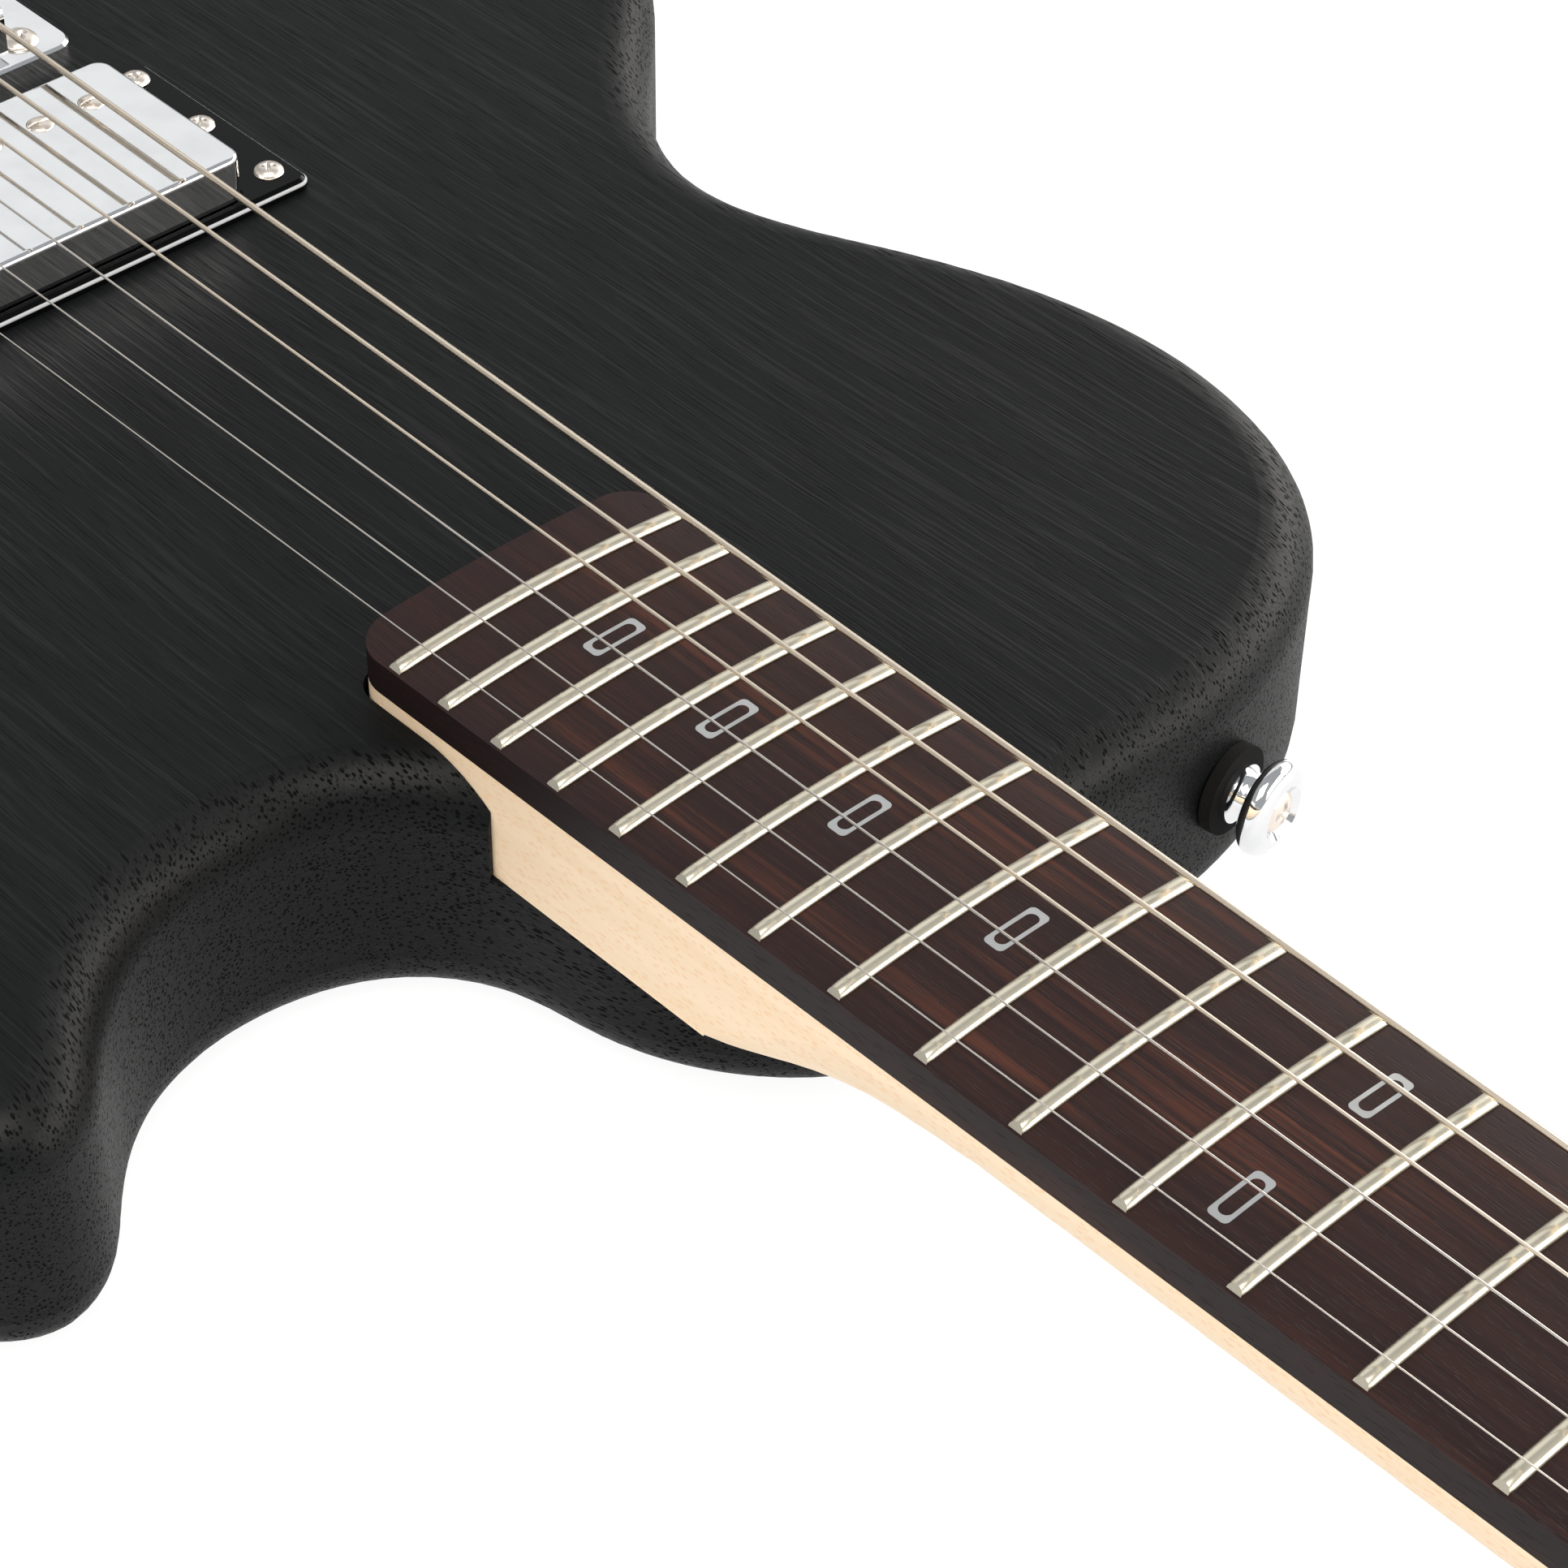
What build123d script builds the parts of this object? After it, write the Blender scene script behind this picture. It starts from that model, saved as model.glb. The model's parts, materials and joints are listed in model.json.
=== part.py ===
"""Electric guitar: single-cutaway slab body, bolt-on neck, one humbucker at the bridge.

Frame: origin on the flat back of the body, on the centre line, under the saddle line.
+X runs to the headstock, +Y to the bass side, +Z out of the body's top. Millimetres.
"""
import os
from math import asin, degrees, sqrt

from build123d import *

os.makedirs("parts", exist_ok=True)

# ---------------------------------------------------------------- driving sizes
# Scale and strings. Strings run from 6, the low E on the bass side, to 1 on the treble side.
scale_length = 648.0
fret_count = 22
string_gauges = [1.17, 0.91, 0.66, 0.43, 0.33, 0.25]
saddle_setback = [3.6, 3.0, 2.2, 2.6, 1.8, 1.2]
saddle_span = 52.0
nut_span = 35.0
bass_action = 2.0
treble_action = 1.6

# Body slab
body_thick = 44.0
edge_round = 9.0
tail_x = -147.0
lower_bout_x, lower_bout_half = -20.0, 163.0
waist_x, waist_half = 105.5, 101.5
upper_bout_x, upper_bout_half = 194.0, 126.4
front_x = 258.3
cutaway_x, cutaway_y = 185.2, -59.5
horn_x, horn_y = 215.5, -113.0

# Neck and fingerboard
board_end_x = 171.3
board_corner = 7.0
nut_width = 42.0
last_fret_width = 55.8
board_radius = 254.0
board_thick = 7.4
neck_shelf = 2.4
heel_thick = 19.4
heel_end_x = 247.6
shaft_depth_heel = 17.2
shaft_depth_nut = 14.8
transition_length = 50.0
neck_gap = 0.1
pocket_corner = 5.4

# Frets and inlays
crown_width = 2.8
crown_height = 1.15
tang_width = 0.54
tang_depth = 1.6
slot_gap = 0.03
slot_end = 0.9
bevel_angle = 32.0
inlay_length, inlay_width, inlay_corner = 9.9, 3.6, 0.9
inlay_slot_length, inlay_slot_width = 7.7, 2.1
inlay_depth = 0.7
dot_diameter = 2.0
dot_depth = 1.5

# Nut and headstock
nut_thick = 3.2
nut_slot_lift = 0.35
head_thick = 14.3
head_length = 176.0
head_half = 37.5
head_scoop = 17.0
post_first = 42.0
post_pitch = 40.0
post_half = 26.5
bar_distance = 23.0

# Bridge
plate_width, plate_thick = 87.0, 2.0
plate_front, plate_back = 3.7, -42.0
flange_height = 11.0
screw_inset, screw_margin = 6.5, 8.0
saddle_width = 10.0
saddle_length = 26.0
saddle_wall = 4.0
saddle_nose = 4.5
string_hole_x = -13.0
intonation_z = 6.2

# Pickup
pickup_x = 43.2
cover_length, cover_width, cover_height = 71.6, 40.4, 16.0
cover_rise = 10.7
cover_wall = 0.6
ring_x = 40.5
ring_length, ring_width, ring_height = 95.6, 50.0, 2.2
ring_bevel = 0.9
pole_offset = 9.6
pole_pitch = 10.5
pickup_gap = 0.4
height_screw_half = 42.9

# Controls
cavity_x, cavity_inset = -24.0, 65.0
cavity_length, cavity_width = 104.0, 54.0
top_wall = 6.0
cover_lip = 12.0
lid_thick = 2.2
volume_x, volume_inset = 4.0, 71.0
tone_x, tone_inset = -44.0, 62.0
knob_diameter, knob_height = 19.0, 15.0
jack_bore = 6.5

# Clearances
fit = 0.03
running = 0.05
apart = 0.3

# ---------------------------------------------------------------- derived sizes
neck_top = body_thick + neck_shelf
pocket_floor = neck_top - heel_thick
crown_z = neck_top + board_thick
head_top = pocket_floor + head_thick
plate_top = body_thick + plate_thick
string_count = len(string_gauges)
centre_to_axis = crown_z - board_radius
# The controls keep their distance from the treble edge of the lower bout
cavity_y = cavity_inset - lower_bout_half
volume_at = (volume_x, volume_inset - lower_bout_half)
tone_at = (tone_x, tone_inset - lower_bout_half)


def fret_x(number):
    """Distance of a fret from the saddle line, by equal temperament."""
    return scale_length * 2 ** (-number / 12)


def half_width(x):
    """Half width of neck and fingerboard, a straight taper."""
    share = (scale_length - x) / (scale_length - fret_x(fret_count))
    return (nut_width + share * (last_fret_width - nut_width)) / 2


def board_z(y):
    """Height of the fingerboard's playing surface."""
    return centre_to_axis + sqrt(board_radius**2 - y**2)


def string_share(number):
    """0 on the first course of the list, 1 on the last."""
    return number / (string_count - 1)


def saddle_y(number):
    return saddle_span * (0.5 - string_share(number))


def nut_y(number):
    return nut_span * (0.5 - string_share(number))


def nut_z(number):
    """Centre height of a string in its nut slot."""
    return board_z(nut_y(number)) + crown_height + nut_slot_lift + string_gauges[number] / 2


def crest_z(number):
    """Height of the underside of a string on its saddle, from the action at the twelfth fret."""
    action = bass_action + string_share(number) * (treble_action - bass_action)
    return board_z(saddle_y(number)) + crown_height + 2 * action - nut_slot_lift


def saddle_x(number):
    return -saddle_setback[number]


def finish(piece, name):
    """Label a finished piece and write it as its own STEP file."""
    piece.part.label = name
    export_step(piece.part, f"parts/{name}.step")


def turned_screw(place, head_radius, head_height, shank_radius, length):
    """A domed screw as a private part: seat at the place, shank below it, dome above."""
    with BuildPart(mode=Mode.PRIVATE) as screw:
        with BuildSketch(place * Plane.XZ):
            with BuildLine():
                shoulder = (head_radius * 0.7, head_height * 0.6)
                dome = ThreePointArc((0, head_height), shoulder, (head_radius, 0))
                Polyline(
                    dome @ 1,
                    (shank_radius, 0),
                    (shank_radius, -length + 2 * shank_radius),
                    (0, -length),
                    dome @ 0,
                )
            make_face()
        revolve(axis=Axis(place.origin, place.z_dir))
    return screw.part


# ---------------------------------------------------------------- body
outline_points = [
    (tail_x, 0),
    (tail_x + 27, 0.6 * lower_bout_half),
    (lower_bout_x, lower_bout_half),
    (waist_x - 51.5, waist_half + 33.2),
    (waist_x - 26, waist_half + 10),
    (waist_x, waist_half),
    (waist_x + 36.5, waist_half + 12.3),
    (upper_bout_x, upper_bout_half),
    (front_x - 27, upper_bout_half - 11.6),
    (front_x - 9.8, upper_bout_half - 31.5),
    (front_x - 1.4, upper_bout_half - 56.1),
    (front_x, upper_bout_half - 90),
    (front_x - 4.5, 2.0),
    (front_x - 16.8, -13.4),
    (front_x - 37.2, -24.1),
    (cutaway_x + 18.3, -28.7),
    (cutaway_x + 7.5, cutaway_y + 22.4),
    (cutaway_x, cutaway_y),
    (cutaway_x + 5.2, cutaway_y - 21.6),
    (horn_x - 11.8, horn_y + 16.8),
    (horn_x - 3.0, horn_y + 8.6),
    (horn_x, horn_y),
    (horn_x - 3.3, horn_y - 8.8),
    (horn_x - 14, horn_y - 16),
    (horn_x - 36, horn_y - 18.6),
    (waist_x + 36.5, -waist_half - 20),
    (waist_x - 3, -waist_half - 6),
    (waist_x - 51.5, -waist_half - 34),
    (lower_bout_x, -lower_bout_half),
    (tail_x + 27, -0.6 * lower_bout_half),
]

with BuildSketch() as body_outline:
    with BuildLine():
        outline_curve = Spline(*outline_points, periodic=True)
    make_face()


def heel_plan(gap, end, corner=board_corner):
    """Plan of the neck's heel, grown by a gap, from its rounded end to x = end."""
    left = board_end_x - gap
    with BuildSketch(mode=Mode.PRIVATE) as plan:
        with BuildLine():
            Polyline(
                (left, -half_width(left) - gap),
                (end, -half_width(end) - gap),
                (end, half_width(end) + gap),
                (left, half_width(left) + gap),
                close=True,
            )
        make_face()
        ends = plan.vertices().group_by(Axis.X)[0]
        fillet(ends, corner)
    return plan.sketch


# Places on the body's edge: the wall point nearest a target, and the plane square to the wall there.
def wall_plane(x, y, z):
    at = outline_curve.param_at_point(Vector(x, y, 0))
    spot, along = outline_curve @ at, outline_curve % at
    outward = Vector(along.Y, -along.X, 0)
    if outward.dot(Vector(x, y, 0) - Vector(0.4 * front_x, 0, 0)) < 0:
        outward = -outward
    return Plane(origin=(spot.X, spot.Y, z), x_dir=Vector(0, 0, 1), z_dir=outward)


strap_places = [
    wall_plane(front_x - 1.4, upper_bout_half - 56.1, body_thick / 2),
    wall_plane(tail_x, 0, body_thick / 2),
]
jack_place = Plane(origin=(lower_bout_x, -lower_bout_half, body_thick / 2), x_dir=(0, 0, 1), z_dir=(0, -1, 0))

# Hardware sizes that the body shares with the pieces it carries
ferrule_head, ferrule_bore, ferrule_length = 4.6, 3.9, 12.0
neck_ferrule_radius, neck_ferrule_depth = 7.0, 2.6
neck_screw_radius, neck_screw_length = 2.2, 41.0
neck_screw_at = [
    (board_end_x + 15, 18),
    (board_end_x + 15, -18),
    (heel_end_x - 12, 18),
    (heel_end_x - 20, -3),
]
string_bore = 2.0
string_holes = [(string_hole_x, saddle_y(i)) for i in range(string_count)]
bridge_screw_radius = 1.7
bridge_screw_at = [
    (x, side * (plate_width / 2 - screw_margin))
    for x in (plate_front - screw_inset, plate_back + 2 * screw_inset)
    for side in (-1, 1)
]
ring_screw_radius, ring_screw_hold = 1.25, 12.0
ring_screw_at = [
    (ring_x + end * (ring_width / 2 - 6.0), side * (ring_length / 2 - 4.7))
    for end in (-1, 1)
    for side in (-1, 1)
]
height_screw_radius = 1.3
height_screw_at = [(ring_x, side * height_screw_half) for side in (-1, 1)]
lug_half, lug_width = ring_length / 2 - 2.0, 12.0
main_rout_depth, lug_rout_depth = 20.0, 31.0
strap_screw_radius = 2.0
pot_bushing_radius = 4.7
cup_radius, cup_flange_radius, cup_depth, cup_flange, cup_floor = 11.0, 12.5, 22.0, 1.2, 2.2
wire_way_radius = 4.0
lid_screw_radius, lid_head_radius, lid_screw_length = 1.4, 2.6, 12.5
cavity_corner = 14.0
# The lid's screws stand on the ledge, at its rounded corners
lid_screw_inset = cavity_corner - (cavity_corner + 0.2 * cover_lip) * sqrt(0.5)
lid_screw_at = [
    (
        cavity_x + end * (cavity_length / 2 - lid_screw_inset),
        cavity_y + side * (cavity_width / 2 - lid_screw_inset),
    )
    for end in (-1, 1)
    for side in (-1, 1)
]

with BuildPart() as body_cuts:
    # Neck pocket: open at the front, and open to the treble side past the cutaway's end
    pocket_side = cutaway_x + 17.8
    with BuildSketch(Plane.XY.offset(pocket_floor)):
        add(heel_plan(neck_gap, front_x + 20, pocket_corner))
        with BuildLine():
            Polyline(
                (pocket_side, 0),
                (front_x + 20, 0),
                (front_x + 20, cutaway_y),
                (cutaway_x + 36, cutaway_y),
                (pocket_side, -half_width(pocket_side) - neck_gap),
                close=True,
            )
        make_face()
    extrude(amount=body_thick)
    # Pickup rout with two deep ears for the lugs
    with BuildSketch(Plane.XY.offset(body_thick)):
        with Locations((pickup_x, 0)):
            RectangleRounded(cover_width + 3, cover_length + 3, 4)
    extrude(amount=-main_rout_depth)
    with BuildSketch(Plane.XY.offset(body_thick)):
        with Locations((ring_x, 0)):
            RectangleRounded(lug_width + 3, 2 * lug_half, 3)
    extrude(amount=-lug_rout_depth)
    # Control cavity from the back, with a ledge for its lid
    with BuildSketch():
        with Locations((cavity_x, cavity_y)):
            RectangleRounded(cavity_length, cavity_width, cavity_corner)
    extrude(amount=body_thick - top_wall)
    with BuildSketch():
        with Locations((cavity_x, cavity_y)):
            RectangleRounded(
                cavity_length + cover_lip,
                cavity_width + cover_lip,
                cavity_corner + cover_lip / 2,
            )
    extrude(amount=lid_thick + fit)
    # Wire way from the pickup rout to the control cavity
    wire_start = Vector(pickup_x - 12, -cover_length / 2 + 6, body_thick - main_rout_depth + 6)
    wire_end = Vector(cavity_x + cavity_length / 2 - 12, cavity_y + cavity_width / 2 - 4, wire_start.Z)
    with BuildSketch(Plane(origin=wire_start, z_dir=wire_end - wire_start)):
        Circle(wire_way_radius)
    extrude(amount=(wire_end - wire_start).length)
    # Jack bore with its spot face, through to the control cavity
    with BuildSketch(jack_place.offset(-cup_flange)):
        Circle(cup_flange_radius + apart)
    extrude(amount=3 * cup_flange)
    with BuildSketch(jack_place):
        Circle(cup_radius + fit)
    extrude(amount=-(lower_bout_half + cavity_y - cavity_width / 2 + 6))
    # Round holes from the back: lid screws, string bores with ferrule seats, neck screws
    for radius, depth, places in (
        (lid_screw_radius + fit, lid_screw_length + 1, lid_screw_at),
        (string_bore, body_thick, string_holes),
        (ferrule_bore + fit, ferrule_length + fit, string_holes),
        (ferrule_head + fit, 1.5, string_holes),
        (neck_ferrule_radius + fit, neck_ferrule_depth + apart, neck_screw_at),
        (neck_screw_radius + fit, body_thick, neck_screw_at),
    ):
        with BuildSketch():
            with Locations(*places):
                Circle(radius)
        extrude(amount=depth)
    # Round holes from the top: bridge, ring and pots
    for radius, depth, places in (
        (bridge_screw_radius + fit, 24, bridge_screw_at),
        (ring_screw_radius + fit, ring_screw_hold + 2, ring_screw_at),
        (pot_bushing_radius + fit, top_wall + 1, [volume_at, tone_at]),
    ):
        with BuildSketch(Plane.XY.offset(body_thick)):
            with Locations(*places):
                Circle(radius)
        extrude(amount=-depth)
    # Pilot holes for the strap screws
    for place in strap_places:
        with BuildSketch(place):
            Circle(strap_screw_radius + fit)
        extrude(amount=-26)

with BuildPart() as body:
    with BuildSketch():
        add(body_outline.sketch)
    extrude(amount=body_thick)
    fillet(body.edges().filter_by(Plane.XY), edge_round)
    add(body_cuts.part, mode=Mode.SUBTRACT)
finish(body, "body")

# Back lid of the control cavity, and its screws
with BuildPart() as control_cover:
    with BuildSketch():
        with Locations((cavity_x, cavity_y)):
            RectangleRounded(
                cavity_length + cover_lip - 2 * apart,
                cavity_width + cover_lip - 2 * apart,
                cavity_corner + cover_lip / 2 - apart,
            )
    extrude(amount=lid_thick)
    with Locations(*[(x, y, 0) for x, y in lid_screw_at]):
        standing = (Align.CENTER, Align.CENTER, Align.MIN)
        Cylinder(lid_screw_radius + fit, lid_thick, align=standing, mode=Mode.SUBTRACT)
        Cone(lid_head_radius + 0.2, lid_screw_radius + fit, 1.6, align=standing, mode=Mode.SUBTRACT)
finish(control_cover, "control_cover")

with BuildPart() as control_cover_screws:
    for x, y in lid_screw_at:
        with BuildSketch(Plane.XZ.offset(-y)):
            with BuildLine():
                Polyline(
                    (x, 0.25),
                    (x + lid_head_radius, 0.25),
                    (x + lid_screw_radius, 1.55),
                    (x + lid_screw_radius, lid_screw_length - 1.5),
                    (x, lid_screw_length),
                    close=True,
                )
            make_face()
        revolve(axis=Axis((x, y, 0), (0, 0, 1)))
finish(control_cover_screws, "control_cover_screws")

# Neck screws in flush ferrules
with BuildPart() as neck_ferrules:
    for x, y in neck_screw_at:
        with BuildSketch(Plane.XZ.offset(-y)):
            with BuildLine():
                Polyline(
                    (x + neck_screw_radius + fit, neck_ferrule_depth + apart),
                    (x + neck_ferrule_radius, neck_ferrule_depth + apart),
                    (x + neck_ferrule_radius, 1.0),
                    (x + neck_ferrule_radius - 0.7, 0.3),
                    (x + 5.0, 0.3),
                    (x + neck_screw_radius + fit, 2.45),
                    close=True,
                )
            make_face()
        revolve(axis=Axis((x, y, 0), (0, 0, 1)))
finish(neck_ferrules, "neck_ferrules")

with BuildPart() as neck_screws:
    for x, y in neck_screw_at:
        with BuildSketch(Plane.XZ.offset(-y)):
            with BuildLine():
                Line((x, neck_screw_length), (x, 0.35))
                ThreePointArc((x, 0.35), (x + 2.4, 0.5), (x + 4.4, 0.62))
                Polyline(
                    (x + 4.4, 0.62),
                    (x + neck_screw_radius, 2.3),
                    (x + neck_screw_radius, neck_screw_length - 4),
                    (x, neck_screw_length),
                )
            make_face()
        revolve(axis=Axis((x, y, 0), (0, 0, 1)))
finish(neck_screws, "neck_screws")

# String ferrules in the back
with BuildPart() as string_ferrules:
    with Locations(*[(string_hole_x, saddle_y(i), 0.2) for i in range(string_count)]):
        Cylinder(ferrule_head, 1.3, align=(Align.CENTER, Align.CENTER, Align.MIN))
        Cylinder(ferrule_bore, ferrule_length - 0.2, align=(Align.CENTER, Align.CENTER, Align.MIN))
        Cylinder(2.4, 8.0, align=(Align.CENTER, Align.CENTER, Align.MIN), mode=Mode.SUBTRACT)
        Cylinder(1.1, 2 * ferrule_length, align=(Align.CENTER, Align.CENTER, Align.MIN), mode=Mode.SUBTRACT)
finish(string_ferrules, "string_ferrules")

# Strap buttons: felt washer, stepped button, domed screw
felt_radius, felt_thick = 7.4, 2.0
button_length = 9.6
with BuildPart() as strap_felts:
    for place in strap_places:
        with BuildSketch(place.offset(fit)):
            Circle(felt_radius)
            Circle(strap_screw_radius + fit, mode=Mode.SUBTRACT)
        extrude(amount=felt_thick)
finish(strap_felts, "strap_felts")

with BuildPart() as strap_buttons:
    for place in strap_places:
        start = felt_thick + 2 * fit
        with BuildSketch(place * Plane.XZ):
            with BuildLine():
                bottom = Polyline((strap_screw_radius + fit, start), (4.9, start), (4.9, start + 1.0))
                waist = ThreePointArc(bottom @ 1, (3.7, start + 2.8), (4.3, start + 5.0))
                rim = ThreePointArc(waist @ 1, (7.8, start + 6.3), (6.4, start + 7.8))
                step = Polyline(rim @ 1, (5.8, start + 8.1), (4.6, start + 8.4), (3.6, button_length))
                Polyline(step @ 1, (strap_screw_radius + fit, button_length - 1.5), bottom @ 0)
            make_face()
        revolve(axis=Axis(place.origin, place.z_dir))
finish(strap_buttons, "strap_buttons")

with BuildPart() as strap_screws:
    for place in strap_places:
        seat = place.offset(button_length - 1.4)
        with BuildSketch(seat * Plane.XZ):
            with BuildLine():
                head = ThreePointArc((0, 2.5), (1.9, 2.1), (3.3, 1.3))
                Polyline(head @ 1, (strap_screw_radius, 0), (strap_screw_radius, -28), (0, -31), (0, 2.5))
            make_face()
        revolve(axis=Axis(seat.origin, seat.z_dir))
finish(strap_screws, "strap_screws")

# ---------------------------------------------------------------- string routes
ball_radius, ball_width = 1.9, 2.6
post_waist = 2.65
winding_z = head_top + 6.5
bar_radius = 2.3
bar_under = winding_z + 1.2
pull_through_z = plate_top + 0.6


def string_route(number):
    """Corner points and corner radii of a string, from its ferrule to its post."""
    gauge = string_gauges[number]
    side = 1 if number < string_count // 2 else -1
    turn = number if side > 0 else string_count - 1 - number
    post_x, post_y = scale_length + post_first + turn * post_pitch, side * post_half
    y, lift = saddle_y(number), gauge / 2 + fit
    nut_x = scale_length + nut_thick / 2
    slope = (post_y - side * (post_waist + 1.5 * gauge + apart) - nut_y(number)) / (post_x - nut_x)
    bar_x = scale_length + bar_distance
    points = [
        (string_hole_x, y, ferrule_length / 2),
        (string_hole_x, y, pull_through_z),
        (saddle_x(number) - 0.6, y, crest_z(number) + lift),
        (nut_x, nut_y(number), nut_z(number)),
        (bar_x, nut_y(number) + slope * (bar_x - nut_x), bar_under - lift - 0.08),
        (post_x, nut_y(number) + slope * (post_x - nut_x), winding_z + 1.0),
    ]
    return points, [2.0, 1.5, 6.0, 6.0]


def string_rod(number, gap):
    """The space of one string along its route, grown by a gap, as a private part."""
    points, radii = string_route(number)
    with BuildPart(mode=Mode.PRIVATE) as rod:
        with BuildLine() as path:
            FilletPolyline(*points, radius=radii)
        with BuildSketch(Plane(origin=points[0], z_dir=(0, 0, 1))):
            Circle(string_gauges[number] / 2 + gap)
        sweep(path=path.line)
    return rod.part


# ---------------------------------------------------------------- neck
post_places = [
    (scale_length + post_first + i * post_pitch, side * post_half)
    for side in (1, -1)
    for i in range(string_count // 2)
]
post_radius = 3.0
bushing_radius, bushing_flange = 4.6, 6.4
housing_length, housing_width, housing_height = 16.0, 20.0, 11.0
tuner_screw_radius = 1.0
tuner_screw_at = [(x, y - (1 if y > 0 else -1) * 13.5) for x, y in post_places]
bar_screw_radius = 1.4
bar_half = 25.0
bar_screw_at = [(scale_length + bar_distance, side * bar_half) for side in (-1, 1)]
shaft_start_x = heel_end_x + transition_length
head_join_x = scale_length + 26.0
head_tip_x = scale_length + head_length
scoop_start_x = scale_length + nut_thick + 1.0
rod_width, rod_depth = 6.0, 9.0
rod_start_x, rod_end_x = heel_end_x - 6, scale_length + nut_thick + 12


def neck_section(x, half, depth, across, down):
    """Section of the neck: flat top and sides, elliptical corners, flat back."""
    plane = Plane(origin=(x, 0, neck_top), x_dir=(0, 1, 0), z_dir=(1, 0, 0))
    with BuildSketch(plane) as section:
        with BuildLine():
            EllipticalCenterArc((half - across, down - depth), across, down, 270, arc_size=90)
            EllipticalCenterArc((across - half, down - depth), across, down, 180, arc_size=90)
            Line((across - half, -depth), (half - across, -depth))
            Line((half, down - depth), (half, 0))
            Line((half, 0), (-half, 0))
            Line((-half, 0), (-half, down - depth))
        make_face()
    return section.sketch


def shaft_depth(x):
    share = (scale_length - x) / (scale_length - shaft_start_x)
    return shaft_depth_nut + share * (shaft_depth_heel - shaft_depth_nut)


# Share of the transition, then how far the corner has opened across and down the section
heel_steps = [(0, 0.02, 0.03), (0.2, 0.24, 0.36), (0.36, 0.48, 0.62), (0.56, 0.72, 0.83), (1, 0.97, 0.95)]
side_flat = 0.6

with BuildPart() as neck:
    # Heel block in the pocket
    with BuildSketch(Plane.XY.offset(pocket_floor)):
        add(heel_plan(0, heel_end_x))
    extrude(amount=heel_thick)
    # Heel to shaft: square corners open into the C of the shaft
    for share, across, down in heel_steps:
        x = heel_end_x + share * transition_length
        depth = heel_thick + share * (shaft_depth(shaft_start_x) - heel_thick)
        add(neck_section(x, half_width(x), depth, across * half_width(x), down * depth))
    loft()
    # Shaft, a straight taper
    shaft_end_x = scale_length - 22
    for x in (shaft_start_x, shaft_end_x):
        add(neck_section(x, half_width(x), shaft_depth(x), 0.97 * half_width(x), 0.95 * shaft_depth(x)))
    loft()
    # Shaft to headstock: the back drops to the headstock's back and squares up
    for share, across, down in [(0, 0.97, 0.95), (0.35, 0.9, 0.86), (0.7, 0.55, 0.5), (1, 0.2, 0.16)]:
        x = shaft_end_x + share * (head_join_x - shaft_end_x)
        depth = shaft_depth(shaft_end_x) + share**1.6 * (heel_thick - shaft_depth(shaft_end_x))
        half = half_width(x) + 7.5 * share**3
        add(neck_section(x, half, depth, across * half, down * depth))
    loft()
    # Headstock plate
    with BuildSketch(Plane.XY.offset(pocket_floor)):
        with BuildLine():
            flare = Spline(
                (scale_length + 12, nut_width / 2 + 0.4),
                (head_join_x + 16, head_half - 1),
                (head_join_x + 60, head_half),
                tangents=((1, 0.12), (1, 0)),
            )
            flank = Spline(flare @ 1, (head_tip_x - 14, head_half - 9), tangents=((1, 0), (1, -0.35)))
            tip = Spline(flank @ 1, (head_tip_x, 0), tangents=(flank % 1, (0, -1)))
            mirror(about=Plane.XZ)
            Line((scale_length + 12, nut_width / 2 + 0.4), (scale_length + 12, -nut_width / 2 - 0.4))
        make_face()
    extrude(amount=head_thick)
    # The face of the headstock: a scoop down from the nut's shelf, then flat
    with BuildSketch(Plane.XZ):
        with BuildLine():
            scoop = Spline(
                (scoop_start_x, neck_top),
                (scoop_start_x + head_scoop, head_top),
                tangents=((0.5, -1), (1, 0)),
            )
            Polyline(
                scoop @ 1,
                (head_tip_x + 20, head_top),
                (head_tip_x + 20, neck_top + 20),
                (scoop_start_x, neck_top + 20),
                scoop @ 0,
            )
        make_face()
    extrude(amount=2 * head_half, both=True, mode=Mode.SUBTRACT)
    # Truss rod channel, open under the board and at the headstock
    with BuildSketch(Plane.XY.offset(neck_top)):
        with Locations(((rod_start_x + rod_end_x) / 2, 0)):
            SlotOverall(rod_end_x - rod_start_x + 2, rod_width + 2 * running)
    extrude(amount=-rod_depth - running, mode=Mode.SUBTRACT)
    # Screw holes in the heel
    with BuildSketch(Plane.XY.offset(pocket_floor)):
        with Locations(*neck_screw_at):
            Circle(neck_screw_radius + fit)
    extrude(amount=neck_screw_length - pocket_floor + 0.5, mode=Mode.SUBTRACT)
    # Tuner holes through the headstock, and the bar's screw holes
    with BuildSketch(Plane.XY.offset(head_top)):
        with Locations(*post_places):
            Circle(bushing_radius + fit)
    extrude(amount=-head_thick, mode=Mode.SUBTRACT)
    with BuildSketch(Plane.XY.offset(head_top)):
        with Locations(*bar_screw_at):
            Circle(bar_screw_radius + fit)
    extrude(amount=-11, mode=Mode.SUBTRACT)
    with BuildSketch(Plane.XY.offset(pocket_floor)):
        with Locations(*tuner_screw_at):
            Circle(tuner_screw_radius + fit)
    extrude(amount=9, mode=Mode.SUBTRACT)
finish(neck, "neck")

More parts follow.
